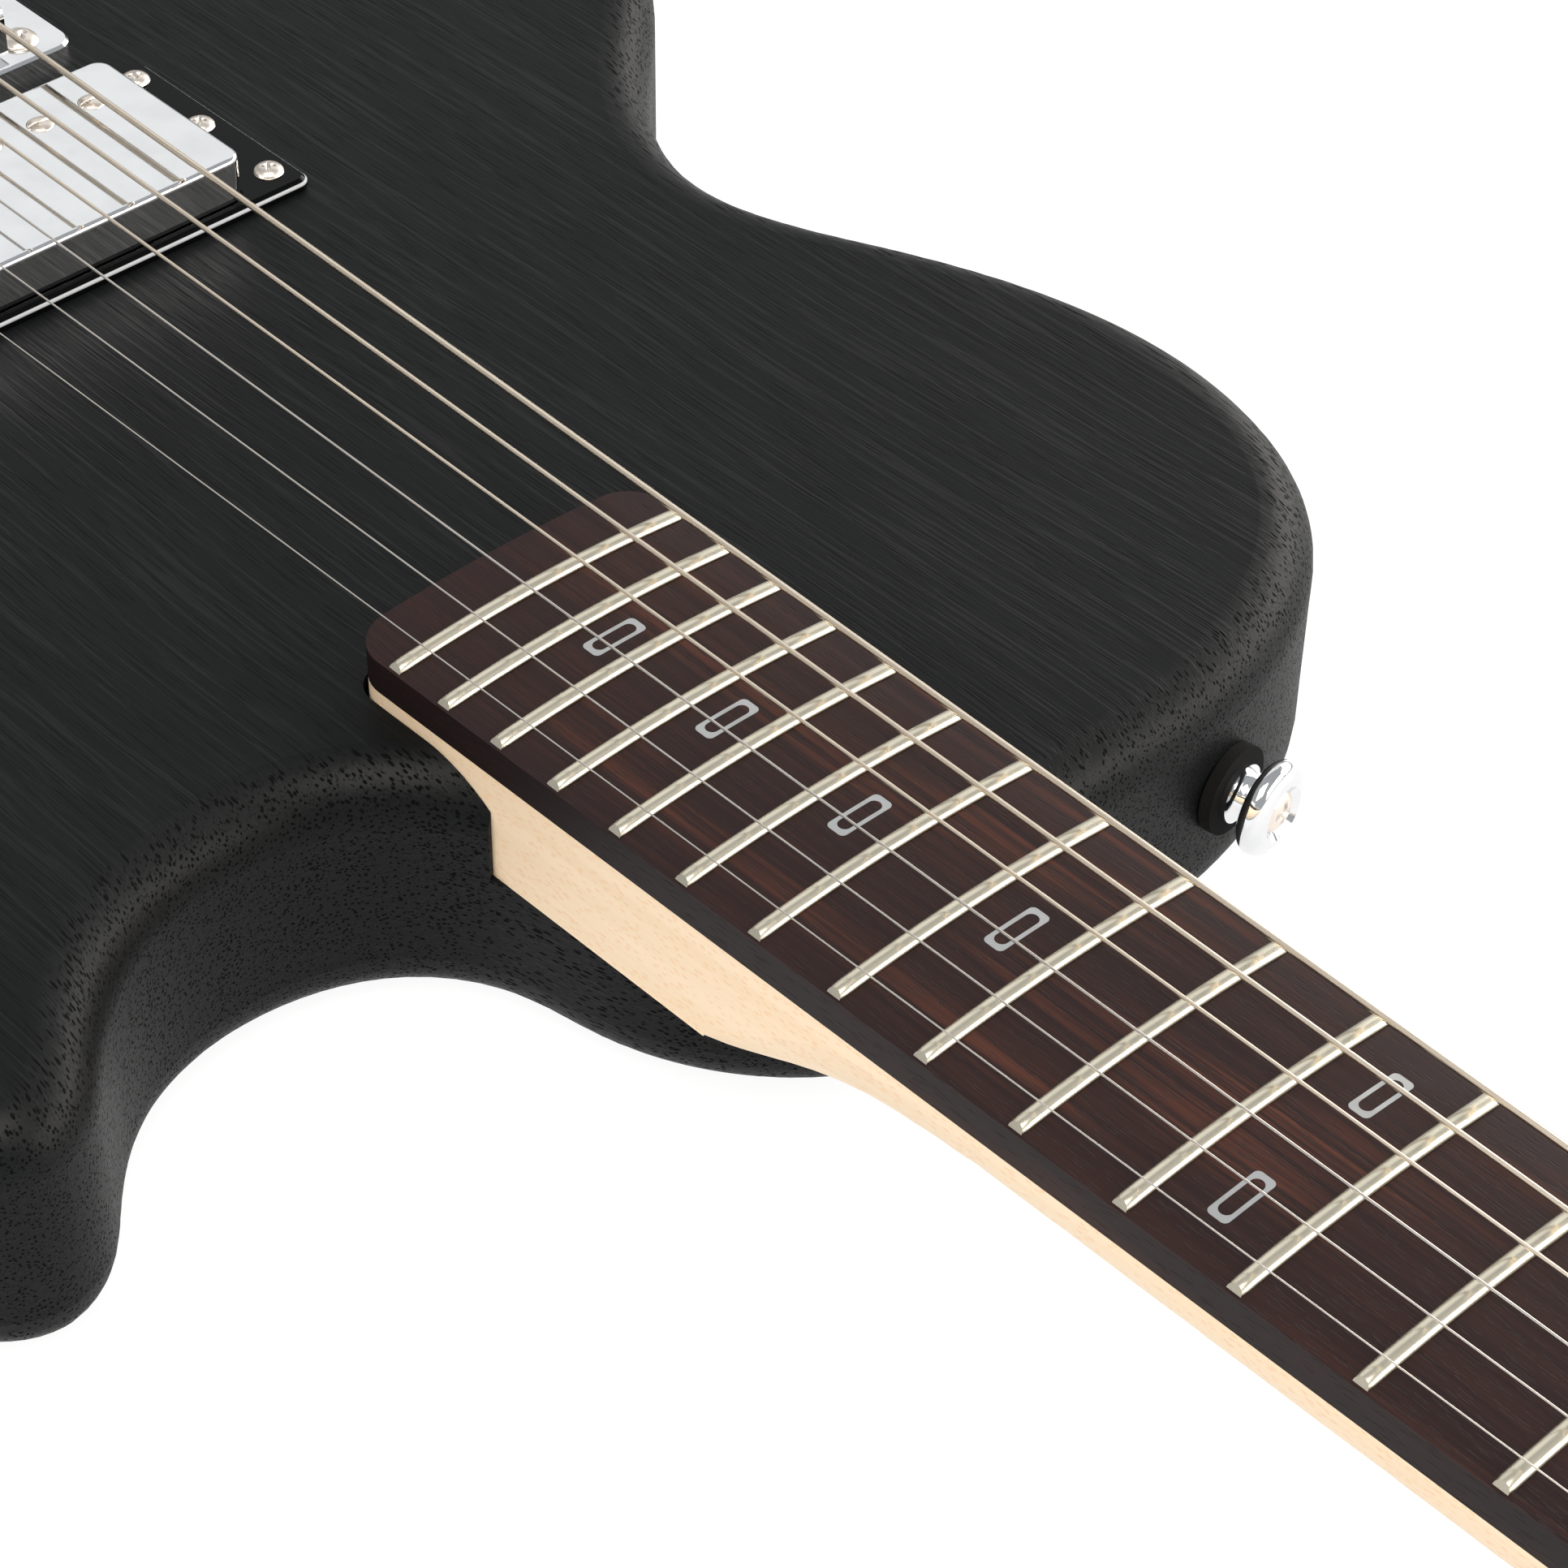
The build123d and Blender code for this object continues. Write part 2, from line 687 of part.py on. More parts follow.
# Truss rod in its channel, and the adjusting nut on its threaded end
rod_nut_length, rod_nut_radius, rod_thread_radius = 9.0, 2.8, 1.6
rod_axis_z = neck_top - rod_depth + rod_width / 2
rod_thread_x = scale_length + nut_thick + 1.5
with BuildPart() as truss_rod:
    with BuildSketch(Plane(origin=(rod_start_x + 2, 0, rod_axis_z), z_dir=(1, 0, 0))):
        Circle(rod_width / 2 - running)
    extrude(amount=rod_thread_x - rod_start_x - 3)
    with BuildSketch(Plane(origin=(rod_thread_x - 2, 0, rod_axis_z), z_dir=(1, 0, 0))):
        Circle(rod_thread_radius)
    extrude(amount=rod_nut_length - 1)
finish(truss_rod, "truss_rod")

with BuildPart() as truss_rod_nut:
    with BuildSketch(Plane(origin=(rod_thread_x, 0, rod_axis_z), z_dir=(1, 0, 0))):
        RegularPolygon(rod_nut_radius, 6, major_radius=True)
    extrude(amount=rod_nut_length)
    with BuildSketch(Plane(origin=(rod_thread_x, 0, rod_axis_z), z_dir=(1, 0, 0))):
        Circle(rod_thread_radius + running)
    extrude(amount=rod_nut_length - 1.5, mode=Mode.SUBTRACT)
    chamfer(truss_rod_nut.faces().sort_by(Axis.X)[-1].edges(), 0.4)
finish(truss_rod_nut, "truss_rod_nut")

# ---------------------------------------------------------------- fingerboard
with BuildSketch(Plane.XY.offset(neck_top)) as board_plan:
    add(heel_plan(0, scale_length))

# The cylinder of the playing surface, as a tool that keeps what lies under it
with BuildPart() as radius_block:
    with BuildSketch(Plane.YZ.offset(board_end_x - 20)):
        with Locations((0, centre_to_axis)):
            Circle(board_radius)
    extrude(amount=scale_length)

# The space that frets may fill: the board's plan, leaning in above its edge
with BuildPart() as bevel_block:
    add(board_plan.sketch)
    extrude(amount=board_z(nut_width / 2 + 2) - neck_top)
    extrude(bevel_block.faces().sort_by(Axis.Z)[-1], amount=4, taper=bevel_angle)


def fret_ring(x, width, bottom, top, crowned=False):
    """A strip across the board at x, curved about the board's axis, between two heights over its surface."""
    axis = Axis((x, 0, centre_to_axis), (1, 0, 0))
    reach = degrees(asin(last_fret_width / 2 / board_radius)) + 0.6
    with BuildPart(mode=Mode.PRIVATE) as strip:
        with BuildSketch(Plane(origin=(x, 0, 0), x_dir=(1, 0, 0), z_dir=(0, -1, 0))):
            with BuildLine():
                if crowned:
                    left = (-width / 2, crown_z + bottom)
                    right = (width / 2, crown_z + bottom)
                    ThreePointArc(left, (0, crown_z + top), right)
                    Line(right, left)
                else:
                    Polyline(
                        (-width / 2, crown_z + bottom),
                        (width / 2, crown_z + bottom),
                        (width / 2, crown_z + top),
                        (-width / 2, crown_z + top),
                        close=True,
                    )
            make_face()
        revolve(axis=axis, revolution_arc=reach)
        mirror(about=Plane.XZ)
    return strip.part


def mid_fret(number):
    """Halfway along the space behind a fret."""
    return (fret_x(number) + fret_x(number - 1)) / 2


marker_frets = (3, 5, 7, 9, 12, 15, 17, 19, 21)
octave_half = 13.2
inlay_at = [
    (mid_fret(n), y)
    for n in marker_frets
    for y in ((-octave_half, octave_half) if n == 12 else (0,))
]
side_dot_x = [
    mid_fret(n) + shift
    for n in marker_frets
    for shift in ((-3, 3) if n == 12 else (0,))
]
side_dot_z = neck_top + board_thick / 2 - 0.8


def inlay_rings(gap):
    with BuildSketch(Plane.XY.offset(crown_z - inlay_depth + gap), mode=Mode.PRIVATE) as rings:
        with Locations(*inlay_at):
            RectangleRounded(inlay_width - 2 * gap, inlay_length - 2 * gap, inlay_corner - gap)
            SlotOverall(inlay_slot_length + 2 * gap, inlay_slot_width + 2 * gap, rotation=90, mode=Mode.SUBTRACT)
    return rings.sketch


# Slots and tangs stop short of the board's edges
with BuildPart() as fret_slots:
    slot_width = tang_width + 2 * slot_gap
    for number in range(1, fret_count + 1):
        add(fret_ring(fret_x(number), slot_width, -tang_depth - slot_gap, 1))
    with BuildSketch(Plane.XY.offset(neck_top)):
        add(heel_plan(-slot_end, scale_length))
    extrude(amount=2 * board_thick, mode=Mode.INTERSECT)

with BuildPart() as fret_tangs:
    for number in range(1, fret_count + 1):
        add(fret_ring(fret_x(number), tang_width, -tang_depth, 0.3))
    with BuildSketch(Plane.XY.offset(neck_top)):
        add(heel_plan(-slot_end - slot_gap, scale_length))
    extrude(amount=2 * board_thick, mode=Mode.INTERSECT)

with BuildPart() as fingerboard:
    add(board_plan.sketch)
    extrude(amount=board_thick + 1)
    add(radius_block.part, mode=Mode.INTERSECT)
    add(fret_slots.part, mode=Mode.SUBTRACT)
    add(inlay_rings(0))
    extrude(amount=2, mode=Mode.SUBTRACT)
    for x in side_dot_x:
        with BuildSketch(Plane(origin=(x, half_width(x) + 1, side_dot_z), z_dir=(0, -1, 0))):
            Circle(dot_diameter / 2 + fit)
        extrude(amount=dot_depth + 1.1, mode=Mode.SUBTRACT)
finish(fingerboard, "fingerboard")

with BuildPart() as frets:
    for number in range(1, fret_count + 1):
        add(fret_ring(fret_x(number), crown_width, 0.02, crown_height, crowned=True))
    add(fret_tangs.part)
    add(bevel_block.part, mode=Mode.INTERSECT)
finish(frets, "frets")

with BuildPart() as fret_inlays:
    add(inlay_rings(slot_gap))
    extrude(amount=2)
    add(radius_block.part, mode=Mode.INTERSECT)
finish(fret_inlays, "fret_inlays")

with BuildPart() as side_dots:
    for x in side_dot_x:
        with BuildSketch(Plane(origin=(x, half_width(x), side_dot_z), z_dir=(0, -1, 0))):
            Circle(dot_diameter / 2)
        extrude(amount=dot_depth)
finish(side_dots, "side_dots")

with BuildPart() as nut:
    with BuildSketch(Plane.YZ.offset(scale_length + fit)):
        with BuildLine():
            top_z = board_z(nut_width / 2) + crown_height + 0.9
            top = ThreePointArc(
                (nut_width / 2 - 0.6, top_z), (0, crown_z + crown_height + 1.0), (0.6 - nut_width / 2, top_z)
            )
            Polyline(
                top @ 1, (-nut_width / 2, top_z - 1), (-nut_width / 2, neck_top), (nut_width / 2, neck_top),
                (nut_width / 2, top_z - 1), top @ 0,
            )
        make_face()
    extrude(amount=nut_thick)
    fillet(nut.edges().filter_by(GeomType.CIRCLE).sort_by(Axis.X)[-1], 0.9)
    for i, gauge in enumerate(string_gauges):
        with BuildSketch(Plane.XZ.offset(-nut_y(i))):
            with BuildLine():
                middle, low = scale_length + nut_thick / 2, nut_z(i)
                Polyline(
                    (middle - 4, low),
                    (middle, low),
                    (middle + 4, low - 1.6),
                    (middle + 4, low + 5),
                    (middle - 4, low + 5),
                    close=True,
                )
            make_face()
        extrude(amount=gauge / 2 + 0.2, both=True, mode=Mode.SUBTRACT)
        add(string_rod(i, fit), mode=Mode.SUBTRACT)
finish(nut, "nut")

# ---------------------------------------------------------------- strings
for name, numbers in (("strings_wound", (0, 1, 2)), ("strings_plain", (3, 4, 5))):
    with BuildPart() as guitar_strings:
        for number in numbers:
            add(string_rod(number, 0))
            # The ball at the string's end
            with Locations(string_route(number)[0][0]):
                Cylinder(ball_radius, ball_width, rotation=(90, 0, 0))
    finish(guitar_strings, name)

# Bar that holds the strings down behind the nut, and its screws
with BuildPart() as string_bar:
    bar_x = scale_length + bar_distance
    with BuildSketch(Plane(origin=(bar_x, -bar_half - 3.2, bar_under + bar_radius), z_dir=(0, 1, 0))):
        Circle(bar_radius)
    extrude(amount=2 * bar_half + 6.4)
    with BuildSketch(Plane.XY.offset(bar_under + bar_radius)):
        with Locations(*bar_screw_at):
            Rectangle(2 * bar_radius, 6.4)
    extrude(amount=bar_radius, both=True)
    with BuildSketch(Plane.XY.offset(bar_under - 1)):
        with Locations(*bar_screw_at):
            Circle(bar_screw_radius + fit)
    extrude(amount=3 * bar_radius, mode=Mode.SUBTRACT)
finish(string_bar, "string_bar")

with BuildPart() as string_bar_screws:
    for x, y in bar_screw_at:
        place = Plane(origin=(x, y, bar_under + 2 * bar_radius + fit))
        add(turned_screw(place, 2.6, 1.5, bar_screw_radius, place.origin.Z - head_top + 10))
finish(string_bar_screws, "string_bar_screws")

# ---------------------------------------------------------------- tuners
worm_offset = 6.2
worm_radius = 2.4
worm_z = pocket_floor - 6.0
post_top = head_top + 11.5
button_gap = 2.4
button_radius, button_thick, button_long = 9.5, 7.0, 15.0
gear_ratio = 15


def outer_side(y):
    return 1 if y > 0 else -1


with BuildPart() as tuner_housings:
    for x, y in post_places:
        side = outer_side(y)
        with BuildSketch(Plane.XY.offset(pocket_floor - fit)):
            with Locations((x + worm_offset / 2 - 1, y + side * 1.0)):
                RectangleRounded(housing_length, housing_width, 2.5)
            with Locations((x, y - side * 11)):
                SlotOverall(10.5, 5.4, rotation=90)
        extrude(amount=-2.2)
        with BuildSketch(Plane.XY.offset(pocket_floor - fit)):
            with Locations((x + worm_offset / 2 - 1, y + side * 1.0)):
                RectangleRounded(housing_length - 0.8, housing_width - 0.8, 2.4)
        extrude(amount=-housing_height)
    rims = tuner_housings.faces().filter_by(Axis.Z).group_by(Axis.Z)[0].edges()
    fillet(rims, 1.6)
    for x, y in post_places:
        side = outer_side(y)
        with BuildSketch(Plane.XY.offset(pocket_floor)):
            with Locations((x, y)):
                Circle(post_radius + running)
        extrude(amount=-8.0, mode=Mode.SUBTRACT)
        with BuildSketch(Plane(origin=(x + worm_offset, y - side * 7, worm_z), z_dir=(0, side, 0))):
            Circle(worm_radius + running)
        extrude(amount=housing_width, mode=Mode.SUBTRACT)
        with BuildSketch(Plane.XY.offset(pocket_floor)):
            with Locations((x, y - side * 13.5)):
                Circle(tuner_screw_radius + fit)
        extrude(amount=-3, mode=Mode.SUBTRACT)
finish(tuner_housings, "tuner_housings")

with BuildPart() as tuner_bushings:
    for x, y in post_places:
        with BuildSketch(Plane.XY.offset(head_top + fit)):
            with Locations((x, y)):
                Circle(bushing_flange)
        extrude(amount=0.8)
        with BuildSketch(Plane.XY.offset(head_top + 0.8)):
            with Locations((x, y)):
                RegularPolygon(5.6, 6, major_radius=True)
        extrude(amount=1.6)
        with BuildSketch(Plane.XY.offset(head_top + 0.5)):
            with Locations((x, y)):
                Circle(bushing_radius)
        extrude(amount=-head_thick + 1)
        with BuildSketch(Plane.XY.offset(head_top + 4)):
            with Locations((x, y)):
                Circle(post_radius + running)
        extrude(amount=-head_thick - 8, mode=Mode.SUBTRACT)
finish(tuner_bushings, "tuner_bushings")

with BuildPart() as tuner_screws:
    for x, y in tuner_screw_at:
        place = Plane(origin=(x, y, pocket_floor - 2.2 - 2 * fit), z_dir=(0, 0, -1))
        add(turned_screw(place, 2.0, 1.2, tuner_screw_radius, 9))
finish(tuner_screws, "tuner_screws")

for number in range(string_count):
    side = 1 if number < string_count // 2 else -1
    turn = number if side > 0 else string_count - 1 - number
    x, y = scale_length + post_first + turn * post_pitch, side * post_half
    name = string_count - number
    coil = string_gauges[number] / 2
    with BuildPart() as tuner_post:
        with BuildSketch(Plane.XZ):
            with BuildLine():
                foot = pocket_floor - 7.5
                lower = Polyline((0, foot), (post_radius, foot), (post_radius, head_top + 3.2))
                hollow = ThreePointArc(lower @ 1, (post_waist, winding_z), (post_radius, post_top - 1.0))
                Polyline(hollow @ 1, (post_radius - 0.6, post_top), (0, post_top), (0, foot))
            make_face()
        revolve(axis=Axis.Z)
        # Turns of the string on the post
        for lap in range(3):
            with BuildSketch(Plane.XZ):
                with Locations((post_waist + 0.95 * coil, winding_z - 1.9 * coil * (lap - 1))):
                    Circle(coil)
            revolve(axis=Axis.Z)
        with BuildSketch(Plane.XZ.offset(-10)):
            with Locations((0, post_top)):
                Rectangle(1.3, 5)
        extrude(amount=20, mode=Mode.SUBTRACT)
    tuner_post.part.position = (x, y, 0)
    finish(tuner_post, f"tuner_post_{name}")

    shaft_start = y - side * 6.5
    edge = side * (head_half + 2)
    with BuildPart() as tuner_button:
        axis_plane = Plane(origin=(x + worm_offset, shaft_start, worm_z), x_dir=(1, 0, 0), z_dir=(0, side, 0))
        reach = abs(edge - shaft_start) + button_gap
        with BuildSketch(axis_plane):
            Circle(worm_radius)
        extrude(amount=reach + 3)
        with BuildSketch(axis_plane.offset(reach)):
            Ellipse(button_radius * 0.5, button_thick * 0.5)
        with BuildSketch(axis_plane.offset(reach + button_long * 0.55)):
            Ellipse(button_radius, button_thick * 0.5)
        with BuildSketch(axis_plane.offset(reach + button_long)):
            Ellipse(button_radius * 0.72, button_thick * 0.32)
        loft()
    finish(tuner_button, f"tuner_button_{name}")

# ---------------------------------------------------------------- bridge
flange_thick = 2.2
intonation_radius = 1.4
intonation_axis_z = plate_top + intonation_z
grub_radius = 1.3
window_width = 3.2
saddle_floor = 1.2
groove_gap = 0.1

with BuildPart() as bridge_plate:
    with BuildSketch(Plane.XY.offset(body_thick)):
        with Locations(((plate_front + plate_back) / 2, 0)):
            RectangleRounded(plate_front - plate_back, plate_width, 4)
    extrude(amount=plate_thick)
    chamfer(bridge_plate.faces().sort_by(Axis.Z)[-1].edges(), 0.5)
    with BuildSketch(Plane.XY.offset(body_thick)):
        with Locations((plate_back + flange_thick / 2, 0)):
            Rectangle(flange_thick, saddle_span + 14)
    extrude(amount=flange_height)
    fillet(bridge_plate.faces().sort_by(Axis.Z)[-1].edges(), 0.9)
    with BuildSketch(Plane.XY.offset(body_thick)):
        with Locations(*string_holes):
            Circle(string_bore - 0.2)
        with Locations(*bridge_screw_at):
            Circle(bridge_screw_radius + fit)
    extrude(amount=plate_thick + 1, mode=Mode.SUBTRACT)
    with BuildSketch(Plane.YZ.offset(plate_back - 1)):
        with Locations(*[(saddle_y(i), intonation_axis_z) for i in range(string_count)]):
            Circle(intonation_radius + running)
    extrude(amount=flange_thick + 2, mode=Mode.SUBTRACT)
finish(bridge_plate, "bridge_plate")

with BuildPart() as bridge_screws:
    for x, y in bridge_screw_at:
        add(turned_screw(Plane(origin=(x, y, plate_top + fit)), 3.6, 1.6, bridge_screw_radius, 24))
finish(bridge_screws, "bridge_screws")

with BuildPart() as intonation_screws:
    for i in range(string_count):
        place = Plane(
            origin=(plate_back - fit, saddle_y(i), intonation_axis_z), x_dir=(0, 1, 0), z_dir=(-1, 0, 0)
        )
        add(turned_screw(place, 2.5, 1.6, intonation_radius, string_hole_x - 4.5 - plate_back))
finish(intonation_screws, "intonation_screws")

for number in range(string_count):
    front, y = saddle_x(number) + saddle_nose, saddle_y(number)
    back, crest = front - saddle_length, crest_z(number)
    window_front = saddle_x(number) - 0.3
    name = string_count - number
    with BuildPart() as saddle:
        with BuildSketch(Plane.XZ.offset(-y)):
            with BuildLine():
                low = Line((back, plate_top + saddle_floor), (front, plate_top + saddle_floor))
                nose = Line(low @ 1, (front, crest - 3.2))
                peak = saddle_x(number)
                brow = ThreePointArc(nose @ 1, (front - 1.2, crest - 0.9), (peak + 0.8, crest - 0.12))
                ridge = ThreePointArc(brow @ 1, (peak, crest), (peak - 0.9, crest - 0.4))
                Polyline(
                    ridge @ 1,
                    (saddle_x(number) - 4, crest - 2.2),
                    (back + 2.2, crest - 2.6),
                    (back, crest - 4.2),
                    low @ 0,
                )
            make_face()
        extrude(amount=saddle_width / 2, both=True)
        # Window for the string, and the bore of the intonation screw
        with BuildSketch(Plane.XY.offset(plate_top)):
            with Locations(((window_front + back + saddle_wall) / 2, y)):
                SlotOverall(window_front - back - saddle_wall, window_width)
        extrude(amount=20, mode=Mode.SUBTRACT)
        with BuildSketch(Plane(origin=(back - 1, y, intonation_axis_z), z_dir=(1, 0, 0))):
            Circle(intonation_radius + running)
        extrude(amount=8, mode=Mode.SUBTRACT)
        # Groove that the string rests in
        add(string_rod(number, groove_gap), mode=Mode.SUBTRACT)
        # Height screws, one each side of the window
        grub_reach = (window_width + saddle_width) / 4
        grubs = [(saddle_x(number) - 6.5, y + side * grub_reach) for side in (-1, 1)]
        with BuildSketch(Plane.XY.offset(plate_top)):
            with Locations(*grubs):
                Circle(grub_radius + fit)
        extrude(amount=20, mode=Mode.SUBTRACT)
        for x, across in grubs:
            with Locations((x, across, plate_top + running)):
                Cylinder(grub_radius, crest - 2.6 - plate_top, align=(Align.CENTER, Align.CENTER, Align.MIN))
            with BuildSketch(Plane.XY.offset(crest)):
                with Locations((x, across)):
                    RegularPolygon(0.7, 6)
            extrude(amount=-5, mode=Mode.SUBTRACT)
    finish(saddle, f"saddle_{name}")

with BuildPart() as intonation_springs:
    for i in range(string_count):
        back = saddle_x(i) + saddle_nose - saddle_length
        start = plate_back + flange_thick + 0.1
        turns = 6
        pitch = (back - 0.3 - start) / turns
        with BuildSketch(Plane.XZ.offset(-saddle_y(i))):
            with BuildLine():
                inner = intonation_axis_z + intonation_radius + 0.12
                coils = [
                    (start + (k + 0.5) * pitch / 2, inner + (0.7 if k % 2 else 0.35))
                    for k in range(2 * turns)
                ]
                Polyline(
                    (start, inner),
                    *coils,
                    (start + turns * pitch, inner),
                    close=True,
                )
            make_face()
        revolve(axis=Axis((0, saddle_y(i), intonation_axis_z), (1, 0, 0)))
finish(intonation_springs, "intonation_springs")

# ---------------------------------------------------------------- pickup
ring_top = body_thick + ring_height
cover_top = body_thick + cover_rise
cover_bottom = cover_top - cover_height
base_thick, lug_thick = 1.4, 1.4
lug_z = cover_bottom - 6.0
pole_radius, pole_shank = 2.4, 1.4
pole_places = [(pickup_x - pole_offset, pole_pitch * (2.5 - i)) for i in range(string_count)]
coil_width, coil_height = 17.0, 10.5

with BuildPart() as pickup_ring:
    with BuildSketch(Plane.XY.offset(body_thick)):
        with Locations((ring_x, 0)):
            RectangleRounded(ring_width, ring_length, 2.5)
    extrude(amount=ring_height)
    chamfer(pickup_ring.faces().sort_by(Axis.Z)[-1].edges(), ring_bevel)
    with BuildSketch(Plane.XY.offset(body_thick)):
        with Locations((pickup_x, 0)):
            RectangleRounded(cover_width + 2 * pickup_gap, cover_length + 2 * pickup_gap, 3 + pickup_gap)
        with Locations(*ring_screw_at):
            Circle(ring_screw_radius + fit)
        with Locations(*height_screw_at):
            Circle(height_screw_radius + running)
    extrude(amount=ring_height, mode=Mode.SUBTRACT)
finish(pickup_ring, "pickup_ring")

with BuildPart() as ring_screws:
    for x, y in ring_screw_at:
        place = Plane(origin=(x, y, ring_top + fit))
        add(turned_screw(place, 2.6, 1.3, ring_screw_radius, ring_height + ring_screw_hold))
finish(ring_screws, "ring_screws")

with BuildPart() as pickup_cover:
    with BuildSketch(Plane.XY.offset(cover_bottom)):
        with Locations((pickup_x, 0)):
            RectangleRounded(cover_width, cover_length, 3)
    extrude(amount=cover_height)
    fillet(pickup_cover.faces().sort_by(Axis.Z)[-1].edges(), 1.0)
    with BuildSketch(Plane.XY.offset(cover_bottom)):
        with Locations((pickup_x, 0)):
            RectangleRounded(cover_width - 2 * cover_wall, cover_length - 2 * cover_wall, 3 - cover_wall)
    extrude(amount=cover_height - cover_wall, mode=Mode.SUBTRACT)
    with BuildSketch(Plane.XY.offset(cover_top)):
        with Locations(*pole_places):
            Circle(pole_radius + running)
    extrude(amount=-3, mode=Mode.SUBTRACT)
finish(pickup_cover, "pickup_cover")

with BuildPart() as pickup_base:
    with BuildSketch(Plane.XY.offset(cover_bottom + 0.4)):
        with Locations((pickup_x, 0)):
            RectangleRounded(cover_width - 2 * cover_wall - 0.2, cover_length - 2 * cover_wall - 0.2, 2.2)
    extrude(amount=base_thick)
    for side in (-1, 1):
        with BuildSketch(Plane.XZ.offset(-side * (cover_length / 2 - 2.6))):
            with Locations((ring_x, (cover_bottom + 1 + lug_z) / 2)):
                Rectangle(lug_width, cover_bottom + 1 - lug_z)
        extrude(amount=-side * lug_thick)
        with BuildSketch(Plane.XY.offset(lug_z)):
            with Locations((ring_x, side * (cover_length / 2 - 2 + lug_half - 2 * apart) / 2)):
                Rectangle(lug_width - 2, lug_half - 2 * apart - cover_length / 2 + 2)
        extrude(amount=lug_thick)
    with BuildSketch(Plane.XY.offset(lug_z)):
        with Locations(*height_screw_at):
            Circle(height_screw_radius + running)
    extrude(amount=lug_thick + 1, mode=Mode.SUBTRACT)
    with BuildSketch(Plane.XY.offset(cover_bottom)):
        with Locations(*pole_places):
            Circle(pole_shank + running)
    extrude(amount=3, mode=Mode.SUBTRACT)
finish(pickup_base, "pickup_base")

bobbin_z = cover_top - cover_wall - 0.2 - coil_height
with BuildPart() as pickup_coils:
    with BuildSketch(Plane.XY.offset(bobbin_z)):
        with Locations((pickup_x - pole_offset, 0), (pickup_x + pole_offset, 0)):
            SlotOverall(cover_length - 3.4, coil_width, rotation=90)
    extrude(amount=coil_height)
    with BuildSketch(Plane.XY.offset(bobbin_z + 1.2)):
        with Locations((pickup_x - pole_offset, 0), (pickup_x + pole_offset, 0)):
            SlotOverall(cover_length, coil_width + 2, rotation=90)
            SlotOverall(cover_length - 5.4, coil_width - 2, rotation=90, mode=Mode.SUBTRACT)
    extrude(amount=coil_height - 2.4, mode=Mode.SUBTRACT)
    with BuildSketch(Plane.XY.offset(bobbin_z)):
        with Locations(*pole_places):
            Circle(pole_radius + running)
    extrude(amount=coil_height + 1, mode=Mode.SUBTRACT)
finish(pickup_coils, "pickup_coils")

with BuildPart() as pickup_magnet:
    with BuildSketch(Plane.XY.offset(cover_bottom + 0.4 + base_thick + 0.05)):
        with Locations((pickup_x, 0)):
            Rectangle(12.5, cover_length - 8)
    extrude(amount=bobbin_z - cover_bottom - base_thick - 0.5)
finish(pickup_magnet, "pickup_magnet")

with BuildPart() as pole_screws:
    for x, y in pole_places:
        with BuildSketch(Plane.XZ.offset(-y)):
            with BuildLine():
                rim = (x + pole_radius, cover_top + 0.1)
                dome = ThreePointArc((x, cover_top + 0.7), (x + 1.5, cover_top + 0.55), rim)
                Polyline(
                    dome @ 1,
                    (x + pole_radius, cover_top - 2.4),
                    (x + pole_shank, cover_top - 2.4),
                    (x + pole_shank, cover_bottom - 3),
                    (x, cover_bottom - 4),
                    dome @ 0,
                )
            make_face()
        revolve(axis=Axis((x, y, 0), (0, 0, 1)))
    with BuildSketch(Plane.XY.offset(cover_top + 1)):
        with Locations(*pole_places):
            Rectangle(0.9, 6, rotation=35)
    extrude(amount=-1.3, mode=Mode.SUBTRACT)
finish(pole_screws, "pole_screws")

with BuildPart() as height_screws:
    for x, y in height_screw_at:
        place = Plane(origin=(x, y, ring_top + fit))
        add(turned_screw(place, 2.6, 1.3, height_screw_radius, ring_top - lug_z + 8))
finish(height_screws, "height_screws")

with BuildPart() as height_springs:
    turns = 5
    low, high = lug_z + lug_thick + 0.1, body_thick - 0.1
    for side in (-1, 1):
        with BuildSketch(Plane.XZ.offset(-side * height_screw_half)):
            with BuildLine():
                near = ring_x + height_screw_radius + 0.15
                pitch = (high - low) / turns
                coils = [
                    (near + (0.8 if k % 2 else 0.4), low + (k + 0.5) * pitch / 2)
                    for k in range(2 * turns)
                ]
                Polyline(
                    (near, low),
                    *coils,
                    (near, high),
                    close=True,
                )
            make_face()
        revolve(axis=Axis((ring_x, side * height_screw_half, 0), (0, 0, 1)))
finish(height_springs, "height_springs")

# ---------------------------------------------------------------- controls and jack
pot_radius, pot_height = 8.5, 9.0
pot_shaft = 3.0
ceiling = body_thick - top_wall
nut_height, washer_thick = 2.2, 0.6
knob_gap = 0.6
pot_nut_radius = 6.3
knob_hollow_radius, knob_hollow_depth = 7.2, 5.0
flute_count, flute_radius = 24, 0.7
barrel_radius, jack_case_radius, jack_nut_radius = 4.7, 8.0, 6.6

